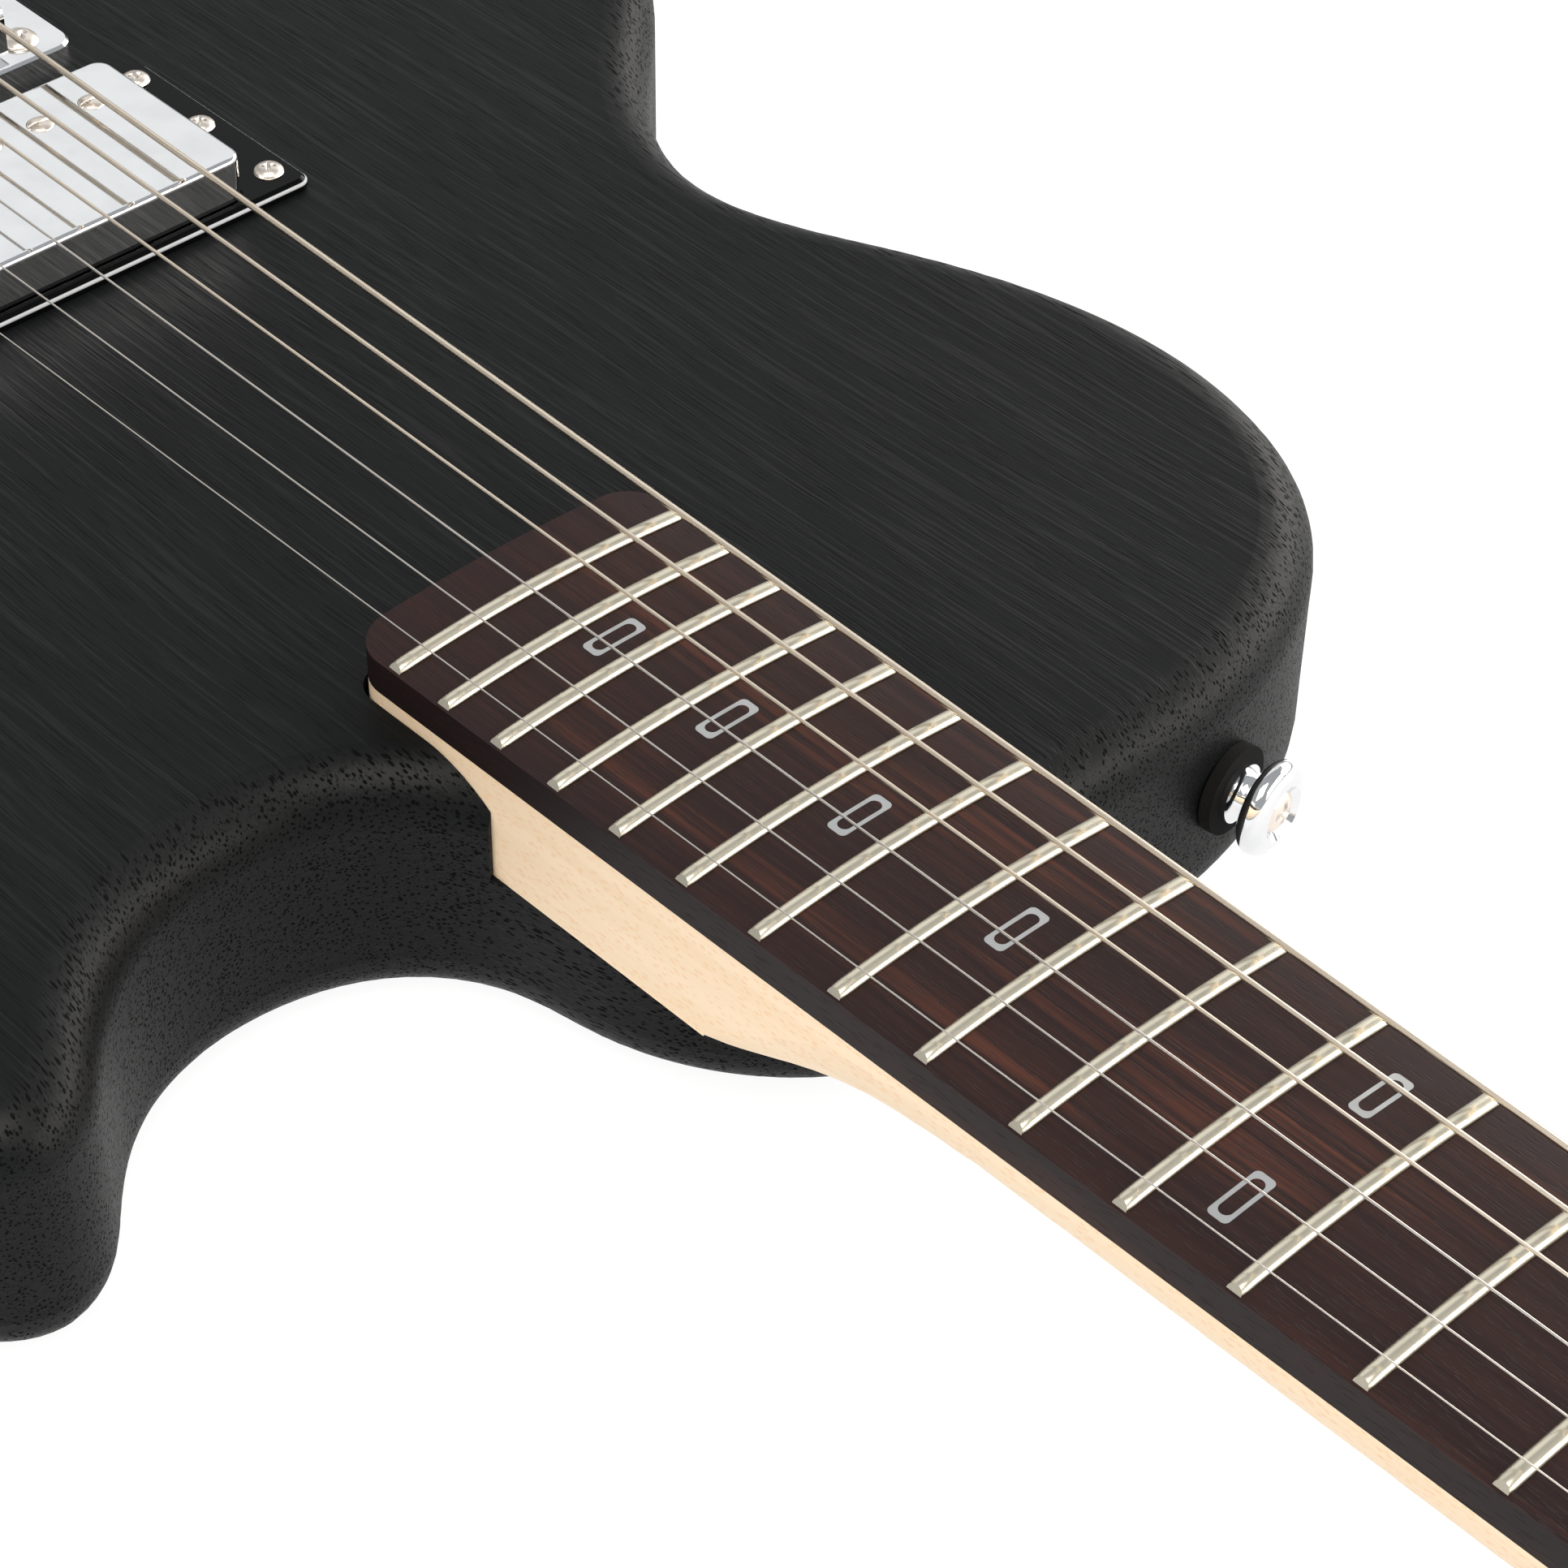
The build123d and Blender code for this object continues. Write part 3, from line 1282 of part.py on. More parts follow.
with BuildPart() as pots:
    for x, y in (volume_at, tone_at):
        with BuildSketch(Plane.XY.offset(ceiling - 0.05)):
            with Locations((x, y)):
                Circle(pot_radius)
            with Locations((x, y + pot_radius + 2)):
                Rectangle(12, 8)
        extrude(amount=-1.6)
        with BuildSketch(Plane.XY.offset(ceiling - 1)):
            with Locations((x, y)):
                Circle(pot_radius - 0.4)
        extrude(amount=-pot_height)
        with BuildSketch(Plane.XY.offset(ceiling - 1)):
            with Locations((x, y)):
                Circle(pot_bushing_radius)
        extrude(amount=top_wall + 1 + nut_height + 1.2)
        with BuildSketch(Plane.XY.offset(ceiling - 6)):
            with Locations((x, y)):
                Circle(pot_shaft + running)
        extrude(amount=40, mode=Mode.SUBTRACT)
        # Washer and nut on the body's top
        with BuildSketch(Plane.XY.offset(body_thick + 0.05)):
            with Locations((x, y)):
                Circle(pot_nut_radius + 0.1)
                Circle(pot_bushing_radius + running, mode=Mode.SUBTRACT)
        extrude(amount=washer_thick)
        with BuildSketch(Plane.XY.offset(body_thick + washer_thick + 0.1)):
            with Locations((x, y)):
                RegularPolygon(pot_nut_radius, 6, major_radius=True)
                Circle(pot_bushing_radius + running, mode=Mode.SUBTRACT)
        extrude(amount=nut_height)
finish(pots, "pots")

for name, (x, y) in (("volume_knob", volume_at), ("tone_knob", tone_at)):
    base = body_thick + knob_gap
    with BuildPart() as knob:
        with BuildSketch(Plane.XY.offset(base)):
            with Locations((x, y)):
                Circle(knob_diameter / 2)
        extrude(amount=knob_height, taper=2)
        fillet(knob.faces().sort_by(Axis.Z)[-1].edges(), 1.5)
        # Hollow that clears the nut, and the shaft's bore
        with BuildSketch(Plane.XY.offset(base)):
            with Locations((x, y)):
                Circle(knob_hollow_radius)
        extrude(amount=knob_hollow_depth, mode=Mode.SUBTRACT)
        # Fine grip flutes
        with BuildSketch(Plane.XY.offset(base + 2)):
            with Locations((x, y)):
                with PolarLocations(knob_diameter / 2 + 0.2, flute_count):
                    Circle(flute_radius)
        extrude(amount=knob_height - 5, mode=Mode.SUBTRACT)
        # The pot's shaft, pressed into the knob
        with BuildSketch(Plane.XY.offset(ceiling - 5)):
            with Locations((x, y)):
                Circle(pot_shaft)
        extrude(amount=base + 8 - ceiling + 5)
    finish(knob, name)

with BuildPart() as jack_cup:
    with BuildSketch(jack_place.offset(-cup_flange + fit)):
        Circle(cup_flange_radius)
    extrude(amount=cup_flange)
    with BuildSketch(jack_place.offset(-0.2)):
        Circle(cup_radius)
    extrude(amount=-cup_depth)
    # The cup's hollow and the jack's hole in its floor
    with BuildSketch(jack_place.offset(1)):
        Circle(cup_radius - 1.2)
    extrude(amount=-cup_depth - 1 + cup_floor, taper=3, mode=Mode.SUBTRACT)
    with BuildSketch(jack_place.offset(-cup_depth + 3)):
        Circle(barrel_radius + fit)
    extrude(amount=-8, mode=Mode.SUBTRACT)
finish(jack_cup, "jack_cup")

with BuildPart() as output_jack:
    with BuildSketch(jack_place.offset(-cup_depth + 5.0)):
        Circle(barrel_radius)
    extrude(amount=-14)
    with BuildSketch(jack_place.offset(-cup_depth - 0.3)):
        Circle(jack_case_radius)
    extrude(amount=-6)
    # Nut inside the cup
    with BuildSketch(jack_place.offset(-cup_depth + cup_floor + 0.05)):
        RegularPolygon(jack_nut_radius, 6, major_radius=True)
    extrude(amount=2.2)
    with BuildSketch(jack_place.offset(-cup_depth + 6)):
        Circle(jack_bore / 2)
    extrude(amount=-16, mode=Mode.SUBTRACT)
finish(output_jack, "output_jack")
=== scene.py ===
# %% [markdown]
# # An electric guitar, piece by piece
# The solids of this guitar come from a CAD source and are already packed as a fixed frame.
# This lesson dresses them: it gives each surface a finish made of nodes, and it makes the
# pieces that CAD leaves plain, such as string windings, screw recesses, springs and frets.
# The first cell loads the frame and notes its size.

# %% Load the frame
import json
import math

import bpy
from mathutils import Matrix, Vector


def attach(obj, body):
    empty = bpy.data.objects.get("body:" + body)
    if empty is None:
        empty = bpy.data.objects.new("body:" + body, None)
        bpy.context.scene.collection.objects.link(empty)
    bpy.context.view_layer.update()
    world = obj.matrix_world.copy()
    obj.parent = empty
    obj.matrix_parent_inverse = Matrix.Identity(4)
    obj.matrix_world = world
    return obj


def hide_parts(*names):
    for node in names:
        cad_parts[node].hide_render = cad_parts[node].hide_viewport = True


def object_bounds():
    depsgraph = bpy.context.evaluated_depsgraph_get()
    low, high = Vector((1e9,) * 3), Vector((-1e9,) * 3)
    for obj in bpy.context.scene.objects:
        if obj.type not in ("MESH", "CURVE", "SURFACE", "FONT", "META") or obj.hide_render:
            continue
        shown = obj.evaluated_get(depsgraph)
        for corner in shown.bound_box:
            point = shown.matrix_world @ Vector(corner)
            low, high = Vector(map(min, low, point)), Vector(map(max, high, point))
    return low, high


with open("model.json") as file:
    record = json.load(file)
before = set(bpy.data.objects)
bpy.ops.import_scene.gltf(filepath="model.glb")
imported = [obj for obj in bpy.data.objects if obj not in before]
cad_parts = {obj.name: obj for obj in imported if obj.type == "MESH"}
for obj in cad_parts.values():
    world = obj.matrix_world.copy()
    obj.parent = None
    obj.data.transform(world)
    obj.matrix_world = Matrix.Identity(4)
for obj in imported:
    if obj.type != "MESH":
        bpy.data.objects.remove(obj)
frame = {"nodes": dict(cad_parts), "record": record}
cad_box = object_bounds()
cad = frame["nodes"]
slot_of = {part["node"]: part["material_slot"] for part in frame["record"]["subparts"]}
print("pieces in the frame:", len(cad), "box:", cad_box)

# %% [markdown]
# ## The camera
# The view looks down on the neck joint from the treble side. A camera in Blender looks along
# its own -Z axis, so its matrix takes three columns: right, up, and the reverse of forward.
# A long lens, close to 97 mm on a 36 mm sensor, keeps the lines of the neck nearly parallel.

# %% Camera
MM = 0.001
camera_data = bpy.data.cameras.new("view_camera")
camera_data.sensor_width = 36.0
camera_data.lens = 96.57
camera_data.clip_start = 0.01
camera = bpy.data.objects.new("view_camera", camera_data)
bpy.context.scene.collection.objects.link(camera)
view_right = Vector((0.67765273, 0.73527904, 0.01230906))
view_down = Vector((0.49511986, -0.44381172, -0.74691866))
view_forward = Vector((-0.54373073, 0.51224593, -0.66480148))
camera_place = Vector((0.556008, -0.302777, 0.442261))
camera.matrix_world = Matrix(
    [[view_right[i], -view_down[i], -view_forward[i], camera_place[i]] for i in range(3)] + [[0, 0, 0, 1]]
)
bpy.context.scene.camera = camera
print("camera stands", round(camera_place.length, 3), "m from the saddle line")

# %% [markdown]
# ## Light and floor
# The set is a white studio. The floor shines mostly by itself, so it stays white and shadows
# on it stay faint, and a pale grey room surrounds it. Gloss needs something to reflect, so the
# lamps are wide sheets. Each one stands where one family of surfaces sees it: the back light
# for the flat top, the key light for the maple and the board, the treble light for the near
# sides of the chrome, the rim light for the far slopes of the frets, and the bass light for
# the rounded edge of the cutaway.

# %% Studio
def softbox(name, place, target, size, power, tint):
    """A rectangular area light that faces a target point."""
    data = bpy.data.lights.new(name, "AREA")
    data.shape = "RECTANGLE"
    data.size, data.size_y = size
    data.energy = power
    data.color = tint
    lamp = bpy.data.objects.new(name, data)
    lamp.location = place
    lamp.rotation_euler = (Vector(target) - Vector(place)).to_track_quat("-Z", "Y").to_euler()
    bpy.context.scene.collection.objects.link(lamp)
    return lamp


neck_joint = (0.2, 0.0, 0.04)
neutral, warm, soft_warm = (1.0, 1.0, 0.99), (1.0, 0.95, 0.9), (1.0, 0.96, 0.92)
softbox("back_light", (-0.9, 0.95, 1.1), neck_joint, (1.7, 1.3), 4.0, neutral)
softbox("key_light", (0.68, -0.44, 1.45), neck_joint, (1.0, 1.0), 25, warm)
softbox("treble_light", (0.3, -1.5, 0.8), neck_joint, (1.2, 0.8), 3.5, warm)
softbox("rim_light", (1.35, 0.75, 0.55), neck_joint, (1.1, 0.7), 15, soft_warm)
softbox("bass_light", (0.35, 1.7, 0.6), neck_joint, (1.8, 0.8), 32, soft_warm)

world = bpy.data.worlds.new("studio_room")
world.use_nodes = True
room = world.node_tree.nodes["Background"].inputs
room["Color"].default_value = (0.86, 0.88, 0.9, 1)
room["Strength"].default_value = 0.5
bpy.context.scene.world = world
bpy.context.scene.view_settings.view_transform = "Standard"

floor_mesh = bpy.data.meshes.new("studio_floor")
reach = 6.0
floor_z = cad_box[0][2] - 0.0005
floor_corners = [(x * reach, y * reach, floor_z) for x, y in ((-1, -1), (1, -1), (1, 1), (-1, 1))]
floor_mesh.from_pydata(floor_corners, [], [(0, 1, 2, 3)])
floor = bpy.data.objects.new("studio_floor", floor_mesh)
bpy.context.scene.collection.objects.link(floor)

# %% [markdown]
# ## A bench for nodes
# Every finish and every Geometry Nodes tree below is built by the same two small classes.
# `Bench` adds a node: first its settings, then the values or links of its sockets.
# `Field` wraps one socket, so that shader maths reads as a plain expression: `1 - mask * 0.5`
# adds the Math nodes by itself. Colours never go through Math, which would turn them grey.
# `Finish` is a bench with a surface shader on it, and it works in millimetres.

# %% Field
class Field:
    """One number that varies over a surface. Arithmetic on it adds Math nodes."""

    def __init__(self, bench, socket):
        self.bench, self.socket = bench, socket

    def _math(self, operation, first, second):
        node = self.bench.add("ShaderNodeMath", {"operation": operation}, {0: first, 1: second})
        return Field(self.bench, node.outputs[0])

    def __add__(self, other):
        return self._math("ADD", self, other)

    def __radd__(self, other):
        return self._math("ADD", other, self)

    def __sub__(self, other):
        return self._math("SUBTRACT", self, other)

    def __rsub__(self, other):
        return self._math("SUBTRACT", other, self)

    def __mul__(self, other):
        return self._math("MULTIPLY", self, other)

    def __rmul__(self, other):
        return self._math("MULTIPLY", other, self)

    def __truediv__(self, other):
        return self._math("DIVIDE", self, other)

    def __pow__(self, other):
        return self._math("POWER", self, other)

    def most(self, other):
        return self._math("MAXIMUM", self, other)

    def apply(self, operation, other=0.0):
        """Any other operation of the Math node."""
        return self._math(operation, self, other)

    def step(self, low, high):
        """0 below low, 1 above high, and a smooth rise between them."""
        node = self.bench.add(
            "ShaderNodeMapRange",
            {"interpolation_type": "SMOOTHSTEP"},
            {"Value": self, "From Min": low, "From Max": high},
        )
        return Field(self.bench, node.outputs["Result"])


# %% Bench
class Bench:
    """Adds nodes to one tree."""

    def __init__(self, tree):
        self.tree = tree

    def add(self, kind, settings=None, values=None):
        node = self.tree.nodes.new(kind)
        for key, value in (settings or {}).items():
            setattr(node, key, value)
        for key, value in (values or {}).items():
            target = node.inputs[key]
            source = value.socket if isinstance(value, Field) else value
            if isinstance(source, bpy.types.NodeSocket):
                self.tree.links.new(source, target)
            else:
                target.default_value = source
        return node

    def first(self, kind, settings=None, values=None):
        """The first output of a new node."""
        return self.add(kind, settings, values).outputs[0]

    def field(self, kind, settings=None, values=None):
        """The first output of a new node, as a field."""
        return Field(self, self.first(kind, settings, values))


# %% Finish
class Finish(Bench):
    """A material: coordinates in millimetres, noise and cells on them, and the surface shader."""

    def __init__(self, name, **constants):
        self.material = bpy.data.materials.new(name)
        self.material.use_nodes = True
        super().__init__(self.material.node_tree)
        self.tree.nodes.clear()
        self.shader = self.add("ShaderNodeBsdfPrincipled")
        output = self.add("ShaderNodeOutputMaterial")
        self.tree.links.new(self.shader.outputs[0], output.inputs[0])
        for key, value in constants.items():
            self.set(key.replace("_", " "), value)
        place = self.add("ShaderNodeTexCoord").outputs["Object"]
        values = {0: place, "Scale": 1 / MM}
        self.place = self.first("ShaderNodeVectorMath", {"operation": "SCALE"}, values)

    def set(self, key, value):
        """A constant, or a link, on a socket of the shader. Names match without regard to case."""
        target = next(s for s in self.shader.inputs if s.name.lower() == key.lower())
        source = value.socket if isinstance(value, Field) else value
        if isinstance(source, bpy.types.NodeSocket):
            self.tree.links.new(source, target)
        else:
            target.default_value = (*source, 1.0) if isinstance(source, tuple) else source

    def axes(self):
        """The three coordinates, in millimetres, as fields."""
        parts = self.add("ShaderNodeSeparateXYZ", None, {0: self.place}).outputs
        return [Field(self, part) for part in parts]

    def at(self, x, y, z):
        return self.first("ShaderNodeCombineXYZ", None, {0: x, 1: y, 2: z})

    def stretched(self, x, y, z):
        """Coordinates divided by a length along each axis, so one unit is that many millimetres."""
        values = {0: self.place, 1: (1 / x, 1 / y, 1 / z)}
        return self.first("ShaderNodeVectorMath", {"operation": "MULTIPLY"}, values)

    def noise(self, vector, detail=3.0, rough=0.5, twist=0.0):
        values = {"Vector": vector, "Scale": 1.0, "Detail": detail, "Roughness": rough, "Distortion": twist}
        return self.field("ShaderNodeTexNoise", None, values)

    def cells(self, vector):
        """The distance to the nearest of a set of scattered points, about one per unit of volume."""
        return self.field("ShaderNodeTexVoronoi", None, {"Vector": vector, "Scale": 1.0})

    def blend(self, factor, first, second):
        """A colour between two colours."""
        node = self.add("ShaderNodeMix", {"data_type": "RGBA"}, {0: factor})
        for key, value in ((6, first), (7, second)):
            if isinstance(value, bpy.types.NodeSocket):
                self.tree.links.new(value, node.inputs[key])
            else:
                node.inputs[key].default_value = (*value, 1.0)
        return node.outputs[2]

    def relief(self, height, depth_mm):
        """Bump from a height field, in millimetres, into the shader's normal."""
        values = {"Height": height, "Distance": depth_mm * MM, "Strength": 1.0}
        self.set("Normal", self.first("ShaderNodeBump", None, values))


finishes = {}
print("bench ready")

# %% [markdown]
# ## Black open-pore wood
# The body is stained black and sealed so thinly that the pores stay open. A pore is a tube
# along the grain: a long dash where the cut runs with the grain, and a dot on end grain.
# Cells stretched along X are just that in three dimensions, so one pattern gives dashes on
# the sides and dots on the rounded edges, with no seam between them. The sheen is a thin
# coat, and a pore breaks it, which makes the pore black. The flat top is sanded and filled
# more than the edges: there the pores are faint, and fine shiny lines show the grain.

# %% Black wood
body_top = 44.0


def black_wood():
    f = Finish(
        "black_wood", specular_ior_level=0.08, coat_roughness=0.42, coat_tint=(1.0, 0.97, 0.94)
    )
    x, y, z = f.axes()
    sway = (f.noise(f.stretched(170, 60, 60), 2.0) - 0.5) * 9.0
    across, up = y + sway, z + sway * 0.6
    rings = f.noise(f.at(x / 300, across / 6.5, up / 6.5), 3.0).step(0.34, 0.64)
    mist = f.noise(f.stretched(60, 12, 12), 3.0).step(0.3, 0.7)
    wide = f.cells(f.at(x / 14, across / 0.68, up / 0.68))
    fine = f.cells(f.at(x / 12 + 7.3, across / 0.46 + 3.1, up / 0.46))
    large_pore = 1 - (wide + (1 - rings) * 0.05).step(0.27, 0.36)
    small_pore = (1 - fine.step(0.18, 0.3)) * (0.3 + 0.5 * mist)
    flat = z.step(body_top - 0.2, body_top - 0.02)
    pore = large_pore.most(small_pore) * (1 - flat * 0.7)
    line = f.noise(f.at(x / 30, across / 0.9, up / 0.9), 3.0).step(0.48, 0.68)
    fibre = f.noise(f.at(x / 20, across / 0.45, up / 0.45), 2.0)
    wood = f.blend(fibre * 0.7 + mist * 0.3, (0.0014, 0.0018, 0.0019), (0.0044, 0.0052, 0.0054))
    coat = 0.115 + 0.05 * fibre + (line * 0.13 - 0.07) * flat
    f.set("Base Color", f.blend(pore, wood, (0.0007, 0.0008, 0.0009)))
    f.set("Roughness", 0.45 + 0.1 * fibre + 0.3 * pore)
    f.set("Coat Weight", (1 - pore) * coat)
    f.relief(fibre * 0.2 + rings * 0.06 + line * 0.3 - pore, 0.18)
    return f.material


finishes["black_wood"] = black_wood()
print("black wood:", len(finishes["black_wood"].node_tree.nodes), "nodes")

# %% [markdown]
# ## Maple and rosewood
# Maple is pale, with short flecks where rays cross the cut and a faint cloudy figure.
# Rosewood is almost black-brown with reddish streaks in patches, and open pores that are
# finer and shorter than those of the body. The side of the board is dark all along. Both
# woods are noise stretched along the neck.

# %% Maple
def maple():
    f = Finish("maple", specular_ior_level=0.4)
    x, y, z = f.axes()
    cloud = f.noise(f.stretched(70, 14, 14), 3.0)
    grain = f.noise(f.stretched(150, 2.6, 2.6), 3.0).step(0.35, 0.7)
    fleck = 1 - f.cells(f.at(x / 1.9, y / 0.7, z / 0.7)).step(0.18, 0.4)
    curl = f.noise(f.at(x / 3.4, y / 16, z / 16), 1.0)
    pale = f.blend(cloud, (0.96, 0.78, 0.57), (0.91, 0.70, 0.48))
    lined = f.blend(grain * 0.3, pale, (0.80, 0.57, 0.33))
    f.set("Base Color", f.blend(fleck * 0.4, lined, (0.86, 0.49, 0.23)))
    f.set("Roughness", 0.42 + 0.1 * cloud + 0.1 * fleck)
    f.relief(curl * 0.3 + cloud * 0.5 - fleck * 0.4, 0.03)
    return f.material


finishes["maple"] = maple()
print("maple:", len(finishes["maple"].node_tree.nodes), "nodes")


# %% Rosewood
board_edge = 52.3


def rosewood():
    f = Finish("rosewood", specular_ior_level=0.16)
    x, y, z = f.axes()
    sway = (f.noise(f.stretched(110, 20, 20), 2.0) - 0.5) * 5.0
    across = y + sway
    streak = f.noise(f.at(x / 90, across / 1.25, z / 4), 5.0, 0.65).step(0.4, 0.68)
    patch = f.noise(f.stretched(60, 11, 11), 2.0).step(0.45, 0.75)
    thread = f.noise(f.at(x / 30, across / 0.35, z / 0.5), 2.0)
    pore = 1 - f.cells(f.at(x / 5, across / 0.36, z / 0.36)).step(0.16, 0.32)
    dark = f.blend(thread, (0.008, 0.0038, 0.0037), (0.019, 0.0083, 0.0076))
    red = f.blend(streak * (0.12 + 0.88 * patch), dark, (0.072, 0.0225, 0.0125))
    side = 1 - z.step(board_edge - 0.4, board_edge)
    f.set("Base Color", f.blend((pore * 0.6).most(side * 0.7), red, (0.0125, 0.0082, 0.0082)))
    f.set("Roughness", 0.4 + 0.14 * thread + 0.2 * pore)
    f.relief(thread * 0.3 - pore, 0.04)
    return f.material


finishes["rosewood"] = rosewood()
print("rosewood:", len(finishes["rosewood"].node_tree.nodes), "nodes")

# %% [markdown]
# ## Metals
# Chrome is a mirror with a faint haze. Nickel and fret wire are warmer and softer, with fine
# scratches from polishing. One recipe serves all of them: a tint, a base roughness, how
# strong the smudges and scratches are, and which way the scratches run.

# %% Metals
def metal(name, tint, rough, smudge=0.04, scratch=0.3, along="x"):
    f = Finish(name, metallic=1.0)
    cloud = f.noise(f.stretched(7, 7, 7), 3.0)
    lengths = {"x": (9, 0.12, 0.12), "y": (0.12, 9, 0.12)}[along]
    line = f.noise(f.stretched(*lengths), 2.0)
    shade = tuple(c * 0.86 for c in tint)
    f.set("Base Color", f.blend(cloud.step(0.3, 0.8) * 0.6 + line * 0.2, tint, shade))
    f.set("Roughness", rough + smudge * cloud + 0.2 * scratch * line * rough)
    f.relief(line * scratch + cloud * 0.2, 0.004)
    return f.material


finishes["chrome"] = metal("chrome", (0.80, 0.81, 0.82), 0.05)
finishes["nickel"] = metal("nickel", (0.83, 0.75, 0.67), 0.27, 0.08)
finishes["fret_wire"] = metal("fret_wire", (0.76, 0.70, 0.56), 0.25, 0.04, 0.04, "y")
finishes["string_steel"] = metal("string_steel", (0.72, 0.67, 0.61), 0.24)
finishes["string_wound"] = metal("string_wound", (0.90, 0.78, 0.63), 0.26, 0.06)
finishes["steel"] = metal("steel", (0.50, 0.50, 0.50), 0.28, 0.1)
finishes["spring_steel"] = metal("spring_steel", (0.55, 0.55, 0.56), 0.25)
finishes["pot_metal"] = metal("pot_metal", (0.60, 0.60, 0.57), 0.36, 0.1)
finishes["base_metal"] = metal("base_metal", (0.66, 0.60, 0.45), 0.36, 0.1)
finishes["inlay"] = metal("inlay", (0.50, 0.51, 0.51), 0.34, 0.1)
print("finishes so far:", ", ".join(finishes))

# %% [markdown]
# ## Plastics, felt and bone
# Moulded plastic has a very fine orange-peel. The pickup's ring is glossy black, and its bevel
# has a painted highlight: a pale band that stands for the light along its edge. Felt is fibres: a
# coarse noise in its colour and a deep bump. The nut is a bone-like plastic.

# %% Plastics and felt
def plastic(name, tint, rough, peel=0.01):
    f = Finish(name, specular_ior_level=0.5)
    peel_noise = f.noise(f.stretched(0.9, 0.9, 0.9), 2.0)
    dust = f.noise(f.stretched(5, 5, 5), 4.0)
    f.set("Base Color", f.blend(dust * 0.15, tint, tuple(min(1, c * 1.5 + 0.01) for c in tint)))
    f.set("Roughness", rough + 0.08 * dust)
    f.relief(peel_noise, peel)
    return f.material


def black_with_painted_edge_highlight(low, high):
    """A glossy black sheet, with a painted highlight: a pale band between two heights on its bevel."""
    f = Finish("black_plastic", specular_ior_level=0.07)
    x, y, z = f.axes()
    peel_noise = f.noise(f.stretched(0.9, 0.9, 0.9), 2.0)
    dust = f.noise(f.stretched(5, 5, 5), 4.0)
    blur = 0.04
    # Painted highlight: a pale band between two heights on the bevel, for the light along the ring's edge.
    painted_edge_highlight = z.step(low - blur, low + blur) * (1 - z.step(high - blur, high + blur))
    f.set("Base Color", f.blend(painted_edge_highlight, (0.0016, 0.0018, 0.0018), (0.36, 0.37, 0.38)))
    f.set("Roughness", 0.07 + 0.08 * dust + 0.3 * painted_edge_highlight)
    f.relief(peel_noise, 0.003)
    return f.material


def felt():
    f = Finish("felt", specular_ior_level=0.1)
    fibre = f.noise(f.stretched(0.35, 0.35, 0.35), 5.0, 0.7, 1.5)
    f.set("Base Color", f.blend(fibre, (0.003, 0.003, 0.003), (0.011, 0.011, 0.011)))
    f.set("Roughness", 0.85 + 0.15 * fibre)
    f.relief(fibre, 0.25)
    return f.material


# The ring's black finish, with its painted edge highlight on the bevel.
finishes["black_plastic"] = black_with_painted_edge_highlight(body_top + 1.05, body_top + 1.6)
finishes["lid_plastic"] = plastic("lid_plastic", (0.012, 0.012, 0.012), 0.5, 0.03)
finishes["bobbin"] = plastic("bobbin", (0.6, 0.55, 0.42), 0.4)
finishes["magnet"] = plastic("magnet", (0.04, 0.04, 0.042), 0.7, 0.05)
finishes["bone"] = plastic("bone", (0.72, 0.66, 0.52), 0.35, 0.01)
finishes["dot_plastic"] = plastic("dot_plastic", (0.75, 0.73, 0.66), 0.25)
finishes["felt"] = felt()
for node, slot in slot_of.items():
    cad[node].data.materials.clear()
    cad[node].data.materials.append(finishes[slot])
print("finishes:", len(finishes), "on", len(slot_of), "nodes")

# %% Floor finish
paper = Finish("studio_paper", roughness=0.9)
fibres = paper.noise(paper.stretched(3, 3, 3), 3.0)
paper.set("Base Color", paper.blend(fibres, (0.10, 0.10, 0.10), (0.12, 0.12, 0.12)))
paper.set("Emission Color", (1.0, 1.0, 1.0))
paper.set("Emission Strength", 0.93)
floor.data.materials.append(paper.material)
print("floor wears", floor.data.materials[0].name)

# %% [markdown]
# ## Geometry Nodes, set up once
# What repeats on a guitar follows a rule: frets follow a formula, windings follow a string,
# screws sit at known places. Each rule becomes one Geometry Nodes tree with named inputs.
# A carrier mesh brings the points or the path, the tree builds the shape, and `grow` turns
# the result into a plain mesh, because an export doesn't keep instances. `settle` then says
# which body the piece rides on and which plain CAD nodes it stands for.

